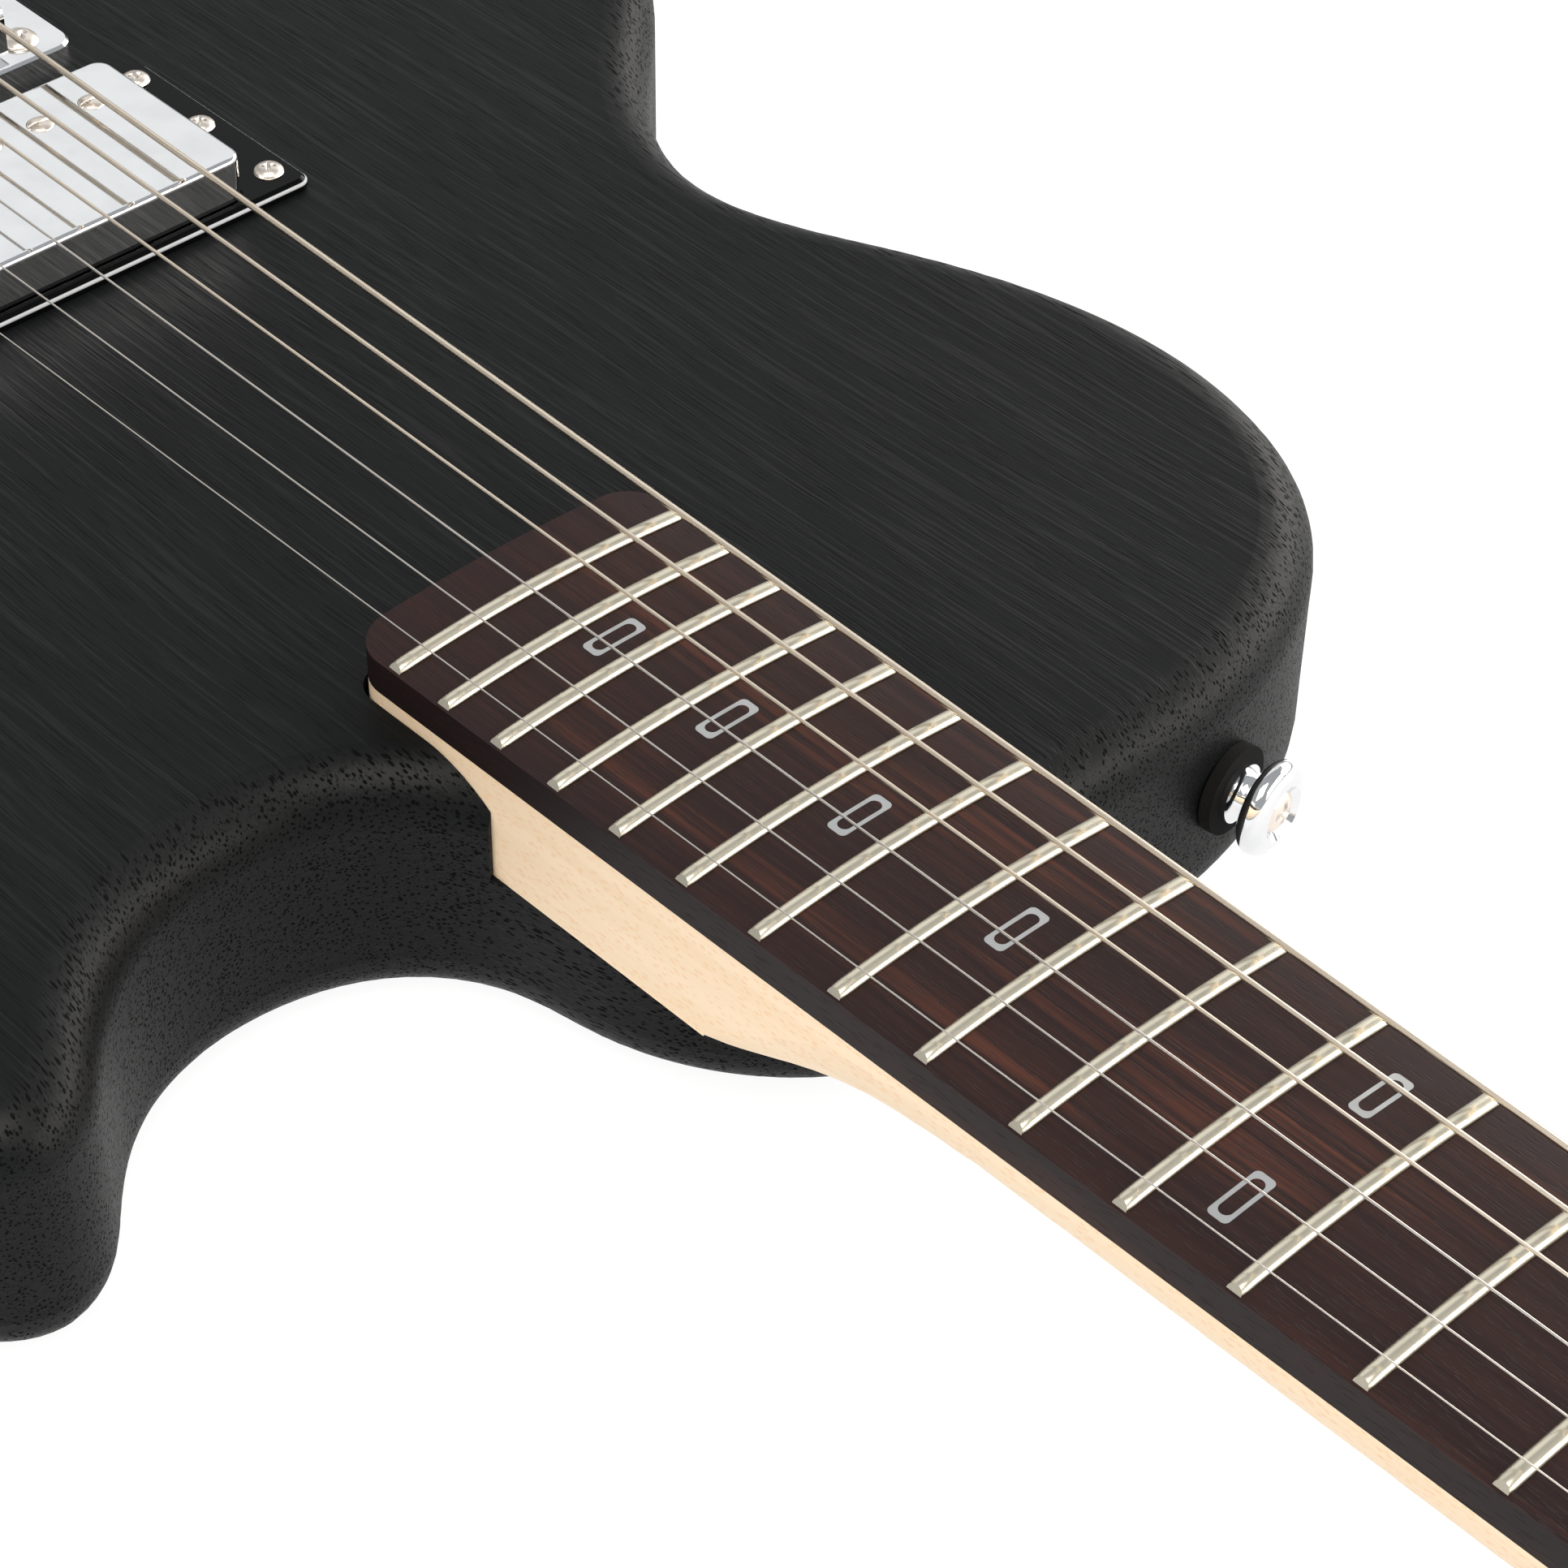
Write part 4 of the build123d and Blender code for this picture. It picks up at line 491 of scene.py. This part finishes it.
# %% Trees
class Recipe(Bench):
    """A Geometry Nodes tree with named inputs and one geometry output."""

    def __init__(self, name, **inputs):
        tree = bpy.data.node_groups.new(name, "GeometryNodeTree")
        tree.interface.new_socket("Geometry", in_out="INPUT", socket_type="NodeSocketGeometry")
        tree.interface.new_socket("Geometry", in_out="OUTPUT", socket_type="NodeSocketGeometry")
        for key, kind in inputs.items():
            tree.interface.new_socket(key, in_out="INPUT", socket_type="NodeSocket" + kind)
        super().__init__(tree)
        self.given = self.add("NodeGroupInput").outputs
        self.result = self.add("NodeGroupOutput").inputs[0]

    def number(self, key):
        """One named input, as a field."""
        return Field(self, self.given[key])

    def coordinate(self, index):
        """One coordinate of each point's position, as a field."""
        place = self.first("GeometryNodeInputPosition")
        return Field(self, self.add("ShaderNodeSeparateXYZ", None, {0: place}).outputs[index])

    def factor(self):
        """How far along its own curve each point lies, from 0 to 1, as a field."""
        return Field(self, self.add("GeometryNodeSplineParameter").outputs["Factor"])

    def attribute(self, name, kind="FLOAT"):
        """A value that the carrier brings along."""
        node = self.add("GeometryNodeInputNamedAttribute", {"data_type": kind}, {"Name": name})
        return next(o for o in node.outputs if o.enabled)

    def facing(self):
        """The rotation that turns Z along the carrier's `facing`."""
        values = {"Vector": self.attribute("facing", "FLOAT_VECTOR")}
        return self.first("FunctionNodeAlignRotationToVector", {"axis": "Z"}, values)

    def capture(self, geometry, value, kind="FLOAT"):
        """Keeps a field's value on the geometry, so that later steps can still read it."""
        node = self.tree.nodes.new("GeometryNodeCaptureAttribute")
        node.capture_items.new(kind, "kept")
        self.tree.links.new(geometry, node.inputs[0])
        self.tree.links.new(value.socket if isinstance(value, Field) else value, node.inputs[1])
        return node.outputs[0], node.outputs[1]

    def close(self, geometry, finish):
        """Realize, give the finish, shade smooth and send to the output."""
        real = self.first("GeometryNodeRealizeInstances", None, {0: geometry})
        smooth = self.first("GeometryNodeSetShadeSmooth", None, {0: real})
        done = self.first("GeometryNodeSetMaterial", None, {0: smooth, "Material": finish})
        self.tree.links.new(done, self.result)


# %% Carriers, growing and settling
def carrier(name, points, edges=(), **attributes):
    """A mesh of points, with one value per point for each attribute."""
    mesh = bpy.data.meshes.new(name)
    mesh.from_pydata(points, edges, [])
    for key, values in attributes.items():
        vector = hasattr(values[0], "__len__")
        layer = mesh.attributes.new(key, "FLOAT_VECTOR" if vector else "FLOAT", "POINT")
        flat = [c for value in values for c in value] if vector else list(values)
        layer.data.foreach_set("vector" if vector else "value", flat)
    obj = bpy.data.objects.new(name, mesh)
    bpy.context.scene.collection.objects.link(obj)
    return obj


def grow(obj, recipe, **inputs):
    """Run a recipe on a carrier and keep its result as the carrier's plain mesh."""
    modifier = obj.modifiers.new("grow", "NODES")
    modifier.node_group = recipe.tree
    for item in recipe.tree.interface.items_tree:
        if item.in_out == "INPUT" and item.name in inputs:
            modifier[item.identifier] = inputs[item.name]
    depsgraph = bpy.context.evaluated_depsgraph_get()
    mesh = bpy.data.meshes.new_from_object(obj.evaluated_get(depsgraph), depsgraph=depsgraph)
    obj.modifiers.remove(modifier)
    while mesh.materials and mesh.materials[0] is None:
        mesh.materials.pop(index=0)
    bare = obj.data
    obj.data = mesh
    bpy.data.meshes.remove(bare)
    print(obj.name, "faces:", len(mesh.polygons))
    return obj


def settle(piece, body, *nodes):
    """Let a piece ride on a body, and stand for the nodes."""
    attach(piece, body)
    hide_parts(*nodes)


# %% [markdown]
# ## Frets
# A fret sits where the string is divided by the twelfth root of two once more. Its crown is
# a small bead that follows the board's curve, and its ends are filed at a slant and rounded.

# %% Fret rule
scale_length, fret_count = 648.0, 22
nut_width, last_fret_width, board_radius = 42.0, 55.8, 254.0
crown_z = 53.8


def fret_x(number):
    return scale_length * 2 ** (-number / 12)


def half_width(x):
    share = (scale_length - x) / (scale_length - fret_x(fret_count))
    return (nut_width + share * (last_fret_width - nut_width)) / 2


fret_places = [fret_x(n) for n in range(1, fret_count + 1)]
print("first fret at", round(fret_places[0], 2), "mm, last at", round(fret_places[-1], 2), "mm")

# %% [markdown]
# The tree starts with one line per fret. Its points crowd towards the ends, where the file
# works. Each copy is scaled to half the board's width there, which the carrier brings, and
# then lowered to the board's curve: a circle drops by r minus the root of r squared less
# y squared.

# %% Fret lines on the board's curve
fret_rule = Recipe("fret_rule", Radius="Float", Crown="Float", Slant="Float", Finish="Material")
line = fret_rule.first("GeometryNodeCurvePrimitiveLine", None, {"Start": (0, -1, 0), "End": (0, 1, 0)})
line = fret_rule.first("GeometryNodeResampleCurve", None, {0: line, "Count": 49})
along = fret_rule.factor() - 0.5
crowded = fret_rule.first("ShaderNodeCombineXYZ", None, {1: (along * math.pi).apply("SINE")})
line = fret_rule.first("GeometryNodeSetPosition", None, {0: line, "Position": crowded})
half = Field(fret_rule, fret_rule.attribute("half"))
width = fret_rule.first("ShaderNodeCombineXYZ", None, {0: 1.0, 1: half, 2: 1.0})
places = fret_rule.given["Geometry"]
rows = fret_rule.first(
    "GeometryNodeInstanceOnPoints", None, {0: places, "Instance": line, "Scale": width}
)
rows = fret_rule.first("GeometryNodeRealizeInstances", None, {0: rows})
radius, across = fret_rule.number("Radius"), fret_rule.coordinate(1)
drop = radius - (radius * radius - across * across) ** 0.5
lowered = fret_rule.first("ShaderNodeCombineXYZ", None, {2: 0.0 - drop})
rows = fret_rule.first("GeometryNodeSetPosition", None, {0: rows, "Offset": lowered})
print("fret lines:", len(fret_rule.tree.nodes), "nodes")

# %% [markdown]
# The crown is a half circle, stretched sideways and swept along the lines. It keeps the height
# of each profile point, from 0 at the board to 1 on top. Near the ends the profile shrinks a
# little, and each point moves inwards by its height times the file's slope.

# %% Fret crown and filed ends
arc = fret_rule.first(
    "GeometryNodeCurveArc",
    None,
    {"Resolution": 15, "Radius": 1.0, "Start Angle": 0.0, "Sweep Angle": math.pi},
)
arc, kept_lift = fret_rule.capture(arc, fret_rule.coordinate(1))
crown = fret_rule.number("Crown")
shape = fret_rule.first("ShaderNodeCombineXYZ", None, {0: crown * 1.2, 1: 0.0 - crown, 2: 1.0})
profile = fret_rule.first("GeometryNodeTransform", None, {0: arc, "Scale": shape})
profile = fret_rule.first("GeometryNodeSetSplineCyclic", None, {0: profile, "Cyclic": True})
rounded_share = 0.07
end = (along * 2.0).apply("ABSOLUTE")
curl = ((end - (1 - rounded_share)) / rounded_share).most(0.0)
bead = fret_rule.first(
    "GeometryNodeCurveToMesh",
    None,
    {"Curve": rows, "Profile Curve": profile, "Scale": 1.0 - curl * curl * 0.12, "Fill Caps": True},
)
inward = fret_rule.coordinate(1) * Field(fret_rule, kept_lift) * crown / half
filed = fret_rule.first("ShaderNodeCombineXYZ", None, {1: 0.0 - inward * fret_rule.number("Slant")})
bead = fret_rule.first("GeometryNodeSetPosition", None, {0: bead, "Offset": filed})
fret_rule.close(bead, fret_rule.given["Finish"])
print("fret rule:", len(fret_rule.tree.nodes), "nodes")

# %% Grow the frets
crown_height, end_inset, crown_lift = 1.15, 0.45, 0.02
frets = carrier(
    "fret_crowns",
    [(x * MM, 0, (crown_z + crown_lift) * MM) for x in fret_places],
    half=[(half_width(x) - end_inset) * MM for x in fret_places],
)
grow(
    frets,
    fret_rule,
    Radius=board_radius * MM,
    Crown=crown_height * MM,
    Slant=0.62,
    Finish=finishes["fret_wire"],
)
settle(frets, "guitar", "frets")

# %% [markdown]
# ## Wound strings
# The three bass strings are a steel core wrapped with nickel wire. The wrap is a helix, so
# the surface is a row of fine ridges, a third of a millimetre apart on the thickest string.
# A path runs from the ferrule in the back over the saddle, the nut and the string bar to the
# first, second or third post of its side, and ends beside the post, where the wraps begin.

# %% String routes
gauges, pitches = [1.17, 0.91, 0.66], [0.34, 0.30, 0.26]
setbacks = [3.6, 3.0, 2.2, 2.6, 1.8, 1.2]
saddle_span, nut_span, hole_x, fit = 52.0, 35.0, -13.0, 0.03
low_action, action_fall = 2.0, 0.4
nut_half, bar_reach, bar_room = 1.6, 23, 0.08
post_first, post_pitch, post_half, post_radius = 42, 40, 26.5, 2.65
wrap_z = 47.8


def saddle_y(number):
    return saddle_span * (0.5 - number / 5)


def board_height(y):
    return crown_z - board_radius + math.sqrt(board_radius**2 - y**2)


def route(number):
    """The corners of a string's path, in millimetres, from its ball end to its post."""
    gauge, share = gauges[number], number / 5
    y, nut_y = saddle_y(number), nut_span * (0.5 - share)
    action = low_action - share * action_fall
    crest = board_height(y) + crown_height + 2 * action - 0.35
    post_x = scale_length + post_first + post_pitch * number
    post_y = post_half - post_radius - 1.5 * gauge - 0.3
    slope = (post_y - nut_y) / (post_x - scale_length - nut_half)
    bar_y = nut_y + slope * (bar_reach - nut_half)
    return [
        (hole_x, y, 6.0),
        (hole_x, y, 46.6),
        (-setbacks[number] - 0.6, y, crest + gauge / 2 + fit),
        (scale_length + nut_half, nut_y, board_height(nut_y) + 1.5 + gauge / 2),
        (scale_length + bar_reach, bar_y, wrap_z + 1.2 - gauge / 2 - fit - bar_room),
        (post_x, nut_y + slope * (post_x - scale_length - nut_half), wrap_z + 1.0),
    ]


print("the sixth string crosses its saddle at", [round(c, 2) for c in route(0)[2]])

# %% [markdown]
# The tree rounds the corners of the path and cuts it into half turns, so that rings of points
# alternate between a ridge and a valley. Moving each point along the string by its share of a
# turn makes the rings into a helix. Its seam meets itself, and merging closes it.

# %% Winding tree
winding = Recipe("winding_rule", Gauge="Float", Pitch="Float", Depth="Float", Finish="Material")
path = winding.first("GeometryNodeMeshToCurve", None, {0: winding.given["Geometry"]})
path = winding.first(
    "GeometryNodeFilletCurve",
    {"mode": "POLY"},
    {0: path, "Radius": 2 * MM, "Limit Radius": True, "Count": 6},
)
gauge, pitch, depth = (winding.number(key) for key in ("Gauge", "Pitch", "Depth"))
path = winding.first(
    "GeometryNodeResampleCurve", {"mode": "LENGTH"}, {0: path, "Length": pitch * 0.5}
)
odd = Field(winding, winding.first("GeometryNodeInputIndex")).apply("MODULO", 2.0)
path, tangent = winding.capture(path, winding.first("GeometryNodeInputTangent"), "VECTOR")
circle = winding.first(
    "GeometryNodeCurveArc",
    None,
    {"Resolution": 9, "Radius": 1.0, "Start Angle": -math.pi / 2, "Sweep Angle": 2 * math.pi},
)
circle, part = winding.capture(circle, winding.factor())
tube = winding.first(
    "GeometryNodeCurveToMesh",
    None,
    {"Curve": path, "Profile Curve": circle, "Scale": gauge * 0.5 - depth * odd},
)
share_of_turn = {0: tangent, "Scale": Field(winding, part) * pitch}
shift = winding.first("ShaderNodeVectorMath", {"operation": "SCALE"}, share_of_turn)
tube = winding.first("GeometryNodeSetPosition", None, {0: tube, "Offset": shift})
tube = winding.first("GeometryNodeMergeByDistance", None, {0: tube, "Distance": 0.004 * MM})
winding.close(tube, winding.given["Finish"])

for number, (gauge_mm, pitch_mm) in enumerate(zip(gauges, pitches)):
    points = [tuple(c * MM for c in corner) for corner in route(number)]
    steps = [(i, i + 1) for i in range(len(points) - 1)]
    string = carrier(f"wound_string_{6 - number}", points, steps)
    grow(
        string,
        winding,
        Gauge=gauge_mm * MM,
        Pitch=pitch_mm * MM,
        Depth=pitch_mm * 0.24 * MM,
        Finish=finishes["string_wound"],
    )
    settle(string, "guitar", "strings_wound")

# %% [markdown]
# ## Screws with recesses
# A screw's head is a dome with a cross or a slot cut into it. One screw of each kind is made
# as a mesh: a profile turned about its axis, and a tapered cutter taken away from it.

# %% One screw
def turned(profile, segments=28):
    """Points and faces of a profile turned about Z. It is given from top to foot as (radius, height)."""
    points, faces, rings = [], [], []
    for radius, height in profile:
        if radius == 0:
            rings.append([len(points)] * segments)
            points.append((0, 0, height))
            continue
        rings.append([len(points) + i for i in range(segments)])
        angles = [2 * math.pi * i / segments for i in range(segments)]
        points += [(radius * math.cos(a), radius * math.sin(a), height) for a in angles]
    for upper, lower in zip(rings, rings[1:]):
        for i in range(segments):
            j = (i + 1) % segments
            corners = [upper[i], lower[i], lower[j], upper[j]]
            faces.append(list(dict.fromkeys(corners)))
    return points, faces


def cutter(reach, width, top, depth, cross):
    """A tapered plus sign, or a plain slot, as a closed solid that cuts down from the top."""
    w, r = width / 2, reach
    if cross:
        outline = [(w, w), (w, r), (-w, r), (-w, w), (-r, w), (-r, -w)]
        outline += [(-w, -w), (-w, -r), (w, -r), (w, -w), (r, -w), (r, w)]
        taper = 0.45
    else:
        outline = [(w, -r), (w, r), (-w, r), (-w, -r)]
        taper = 1.0
    count = len(outline)
    points = [(x, y, top) for x, y in outline]
    points += [(x * taper, y * taper, top - depth) for x, y in outline]
    sides = [(i, count + i, count + (i + 1) % count, (i + 1) % count) for i in range(count)]
    return points, sides + [tuple(range(count)), tuple(reversed(range(count, 2 * count)))]


def plain(name, points, faces):
    """An object from points in millimetres."""
    mesh = bpy.data.meshes.new(name)
    mesh.from_pydata([tuple(c * MM for c in p) for p in points], [], faces)
    mesh.validate()
    obj = bpy.data.objects.new(name, mesh)
    bpy.context.scene.collection.objects.link(obj)
    return obj


dome_angles = (0.25, 0.5, 0.75, 1.0, 1.25, 1.45, math.pi / 2)


def screw(name, head, height, shank, length, cross=True, rim=0.0):
    """A domed head on a plain shank, with its recess cut. The seat is at height zero."""
    dome = [(head * math.sin(a), rim + (height - rim) * math.cos(a)) for a in dome_angles]
    stem = [(head, 0), (shank, 0), (shank, 2 * shank - length), (0, -length)]
    body = plain(name, *turned([(0, height)] + dome + stem))
    reach, width = (0.56 * head, 0.26 * head) if cross else (1.2 * head, 0.3 * head)
    blade = plain(name + "_cutter", *cutter(reach, width, height + 0.2, 0.85 * height + 0.2, cross))
    cut = body.modifiers.new("cut", "BOOLEAN")
    cut.operation, cut.solver, cut.object = "DIFFERENCE", "EXACT", blade
    depsgraph = bpy.context.evaluated_depsgraph_get()
    body.data = bpy.data.meshes.new_from_object(body.evaluated_get(depsgraph), depsgraph=depsgraph)
    body.modifiers.clear()
    bpy.data.objects.remove(blade)
    return body


print("a screw head's dome has", len(dome_angles), "rings")

# %% [markdown]
# A tree then places the screw on points, faces it along each point's direction, and turns it
# by a random amount from a fixed seed, as screws stop where they stop.

# %% Screw tree
screw_field = Recipe("screw_field", Screw="Object", Seed="Int", Finish="Material")
model = screw_field.add(
    "GeometryNodeObjectInfo", {"transform_space": "ORIGINAL"}, {0: screw_field.given["Screw"]}
)
facing = screw_field.facing()
chance = screw_field.add(
    "FunctionNodeRandomValue", {"data_type": "FLOAT"}, {"Seed": screw_field.given["Seed"]}
)
amount = Field(screw_field, next(o for o in chance.outputs if o.enabled)) * (2 * math.pi)
spin = screw_field.first("FunctionNodeAxisAngleToRotation", None, {"Axis": (0, 0, 1), "Angle": amount})
turned_to = screw_field.first(
    "FunctionNodeRotateRotation", {"rotation_space": "LOCAL"}, {0: facing, 1: spin}
)
placed = screw_field.first(
    "GeometryNodeInstanceOnPoints",
    None,
    {
        0: screw_field.given["Geometry"],
        "Instance": model.outputs["Geometry"],
        "Rotation": turned_to,
    },
)
screw_field.close(placed, screw_field.given["Finish"])
print("screw field:", len(screw_field.tree.nodes), "nodes")

# %% [markdown]
# The plan has one row per kind of screw. It gives the body that the screws ride on, then the
# head's radius and height, the shank's radius, the length, whether the recess is a cross, and
# the height of the head's straight rim. The places follow, each with the way it faces.

# %% Screw places
up, down, back = (0, 0, 1), (0, 0, -1), (-1, 0, 0)
sides = (-1, 1)
pickup_x, ring_x, ring_top, cover_top = 43.2, 40.5, 46.2, 54.7
ring_screw_x, ring_screw_y, height_screw_y = 19.0, 43.1, 42.9
pole_offset, pole_pitch = 9.6, 10.5
bridge_rows, bridge_screw_y, bridge_seat = (-2.8, -29.0), 35.5, 46.03
flange_x, saddle_screw_z = -42.03, 52.2
strap_seat = 8.9
strap_walls = [
    ((256.9, 70.3, 22.0), (0.98634, 0.16472, 0.0)),
    ((-147.0, 0.0, 22.0), (-0.98739, -0.15830, 0.0)),
]
joint_places = ((186.3, 18), (186.3, -18), (235.6, 18), (227.6, -3))
lid_x, lid_y, lid_half_x, lid_half_y = -24, -98, 52, 27
lid_inset = 14 - 16.4 * math.sqrt(0.5)
bar_half, bar_seat = 25.0, 53.63
posts = [
    (scale_length + post_first + post_pitch * i, side * post_half) for side in (1, -1) for i in range(3)
]
tuner_screw_reach = 13.5
screw_plan = {
    "ring_screws": (
        ("guitar", 2.6, 1.3, 1.25, 14.2, True, 0.0),
        [
            ((ring_x + e * ring_screw_x, s * ring_screw_y, ring_top + fit), up)
            for e in sides
            for s in sides
        ],
    ),
    "height_screws": (
        ("guitar", 2.6, 1.3, 1.3, 21.5, True, 0.0),
        [((ring_x, s * height_screw_y, ring_top + fit), up) for s in sides],
    ),
    "pole_screws": (
        ("pickup", 2.4, 1.3, 1.4, 18, False, 0.5),
        [((pickup_x - pole_offset, pole_pitch * (2.5 - i), cover_top - 0.6), up) for i in range(6)],
    ),
    "bridge_screws": (
        ("guitar", 3.6, 1.6, 1.7, 24, True, 0.0),
        [((x, s * bridge_screw_y, bridge_seat), up) for x in bridge_rows for s in sides],
    ),
    "strap_screws": (
        ("guitar", 3.6, 1.75, 2.0, 31, True, 0.0),
        [(tuple(w[i] + strap_seat * n[i] for i in range(3)), n) for w, n in strap_walls],
    ),
    "intonation_screws": (
        ("guitar", 2.5, 1.6, 1.4, 24.5, True, 0.3),
        [((flange_x, saddle_y(i), saddle_screw_z), back) for i in range(6)],
    ),
    "neck_screws": (
        ("guitar", 4.3, 1.0, 2.2, 39.5, True, 0.0),
        [((x, y, 1.45), down) for x, y in joint_places],
    ),
    "control_cover_screws": (
        ("guitar", 2.5, 0.7, 1.4, 11.5, True, 0.0),
        [
            ((lid_x + e * (lid_half_x - lid_inset), lid_y + s * (lid_half_y - lid_inset), 0.9), down)
            for e in sides
            for s in sides
        ],
    ),
    "string_bar_screws": (
        ("guitar", 2.6, 1.5, 1.4, 22, True, 0.0),
        [((scale_length + bar_reach, s * bar_half, bar_seat), up) for s in sides],
    ),
    "tuner_screws": (
        ("guitar", 2.0, 1.2, 1.0, 9, True, 0.0),
        [((x, y - math.copysign(tuner_screw_reach, y), 24.74), down) for x, y in posts],
    ),
}
print("kinds of screw:", len(screw_plan))

# %% Grow the screws
first_seed = 3
for seed, (node, (shape, places)) in enumerate(screw_plan.items(), first_seed):
    body, *sizes = shape
    model_screw = screw(node + "_model", *sizes)
    spots = [tuple(c * MM for c in place) for place, _ in places]
    piece = carrier(node + "_detailed", spots, facing=[direction for _, direction in places])
    grow(piece, screw_field, Screw=model_screw, Seed=seed, Finish=finishes[slot_of[node]])
    bpy.data.objects.remove(model_screw)
    settle(piece, body, node)

# %% [markdown]
# ## Springs
# A spring is a wire bent round a screw. The tree lays one spiral per point, stretched to the
# length between its two ends, and only then gives the wire its thickness, so that a longer
# spring doesn't get thicker wire. Each one fills the room between the bridge's flange and the
# back of its saddle.

# %% Spring tree
spring_rule = Recipe("spring_rule", Turns="Float", Coil="Float", Wire="Float", Finish="Material")
coil = spring_rule.number("Coil")
spiral = spring_rule.first(
    "GeometryNodeCurveSpiral",
    None,
    {
        "Resolution": 20,
        "Rotations": spring_rule.given["Turns"],
        "Start Radius": coil,
        "End Radius": coil,
        "Height": 1.0,
    },
)
span = spring_rule.attribute("span")
stretch = spring_rule.first("ShaderNodeCombineXYZ", None, {0: 1.0, 1: 1.0, 2: span})
springs = spring_rule.first(
    "GeometryNodeInstanceOnPoints",
    None,
    {
        0: spring_rule.given["Geometry"],
        "Instance": spiral,
        "Rotation": spring_rule.facing(),
        "Scale": stretch,
    },
)
springs = spring_rule.first("GeometryNodeRealizeInstances", None, {0: springs})
wire = spring_rule.first(
    "GeometryNodeCurvePrimitiveCircle", None, {"Resolution": 7, "Radius": spring_rule.given["Wire"]}
)
springs = spring_rule.first(
    "GeometryNodeCurveToMesh", None, {"Curve": springs, "Profile Curve": wire, "Fill Caps": True}
)
spring_rule.close(springs, spring_rule.given["Finish"])

# %% Grow the springs
saddle_front, saddle_length, coil_start, coil_gap = 4.5, 26, -39.6, 0.3
backs = [saddle_front - saddle_length - setback for setback in setbacks]
spring_piece = carrier(
    "intonation_coils",
    [(coil_start * MM, saddle_y(i) * MM, saddle_screw_z * MM) for i in range(6)],
    facing=[(1, 0, 0)] * 6,
    span=[(back_x - coil_start - coil_gap) * MM for back_x in backs],
)
grow(
    spring_piece,
    spring_rule,
    Turns=9.0,
    Coil=1.85 * MM,
    Wire=0.28 * MM,
    Finish=finishes["spring_steel"],
)
settle(spring_piece, "guitar", "intonation_springs")
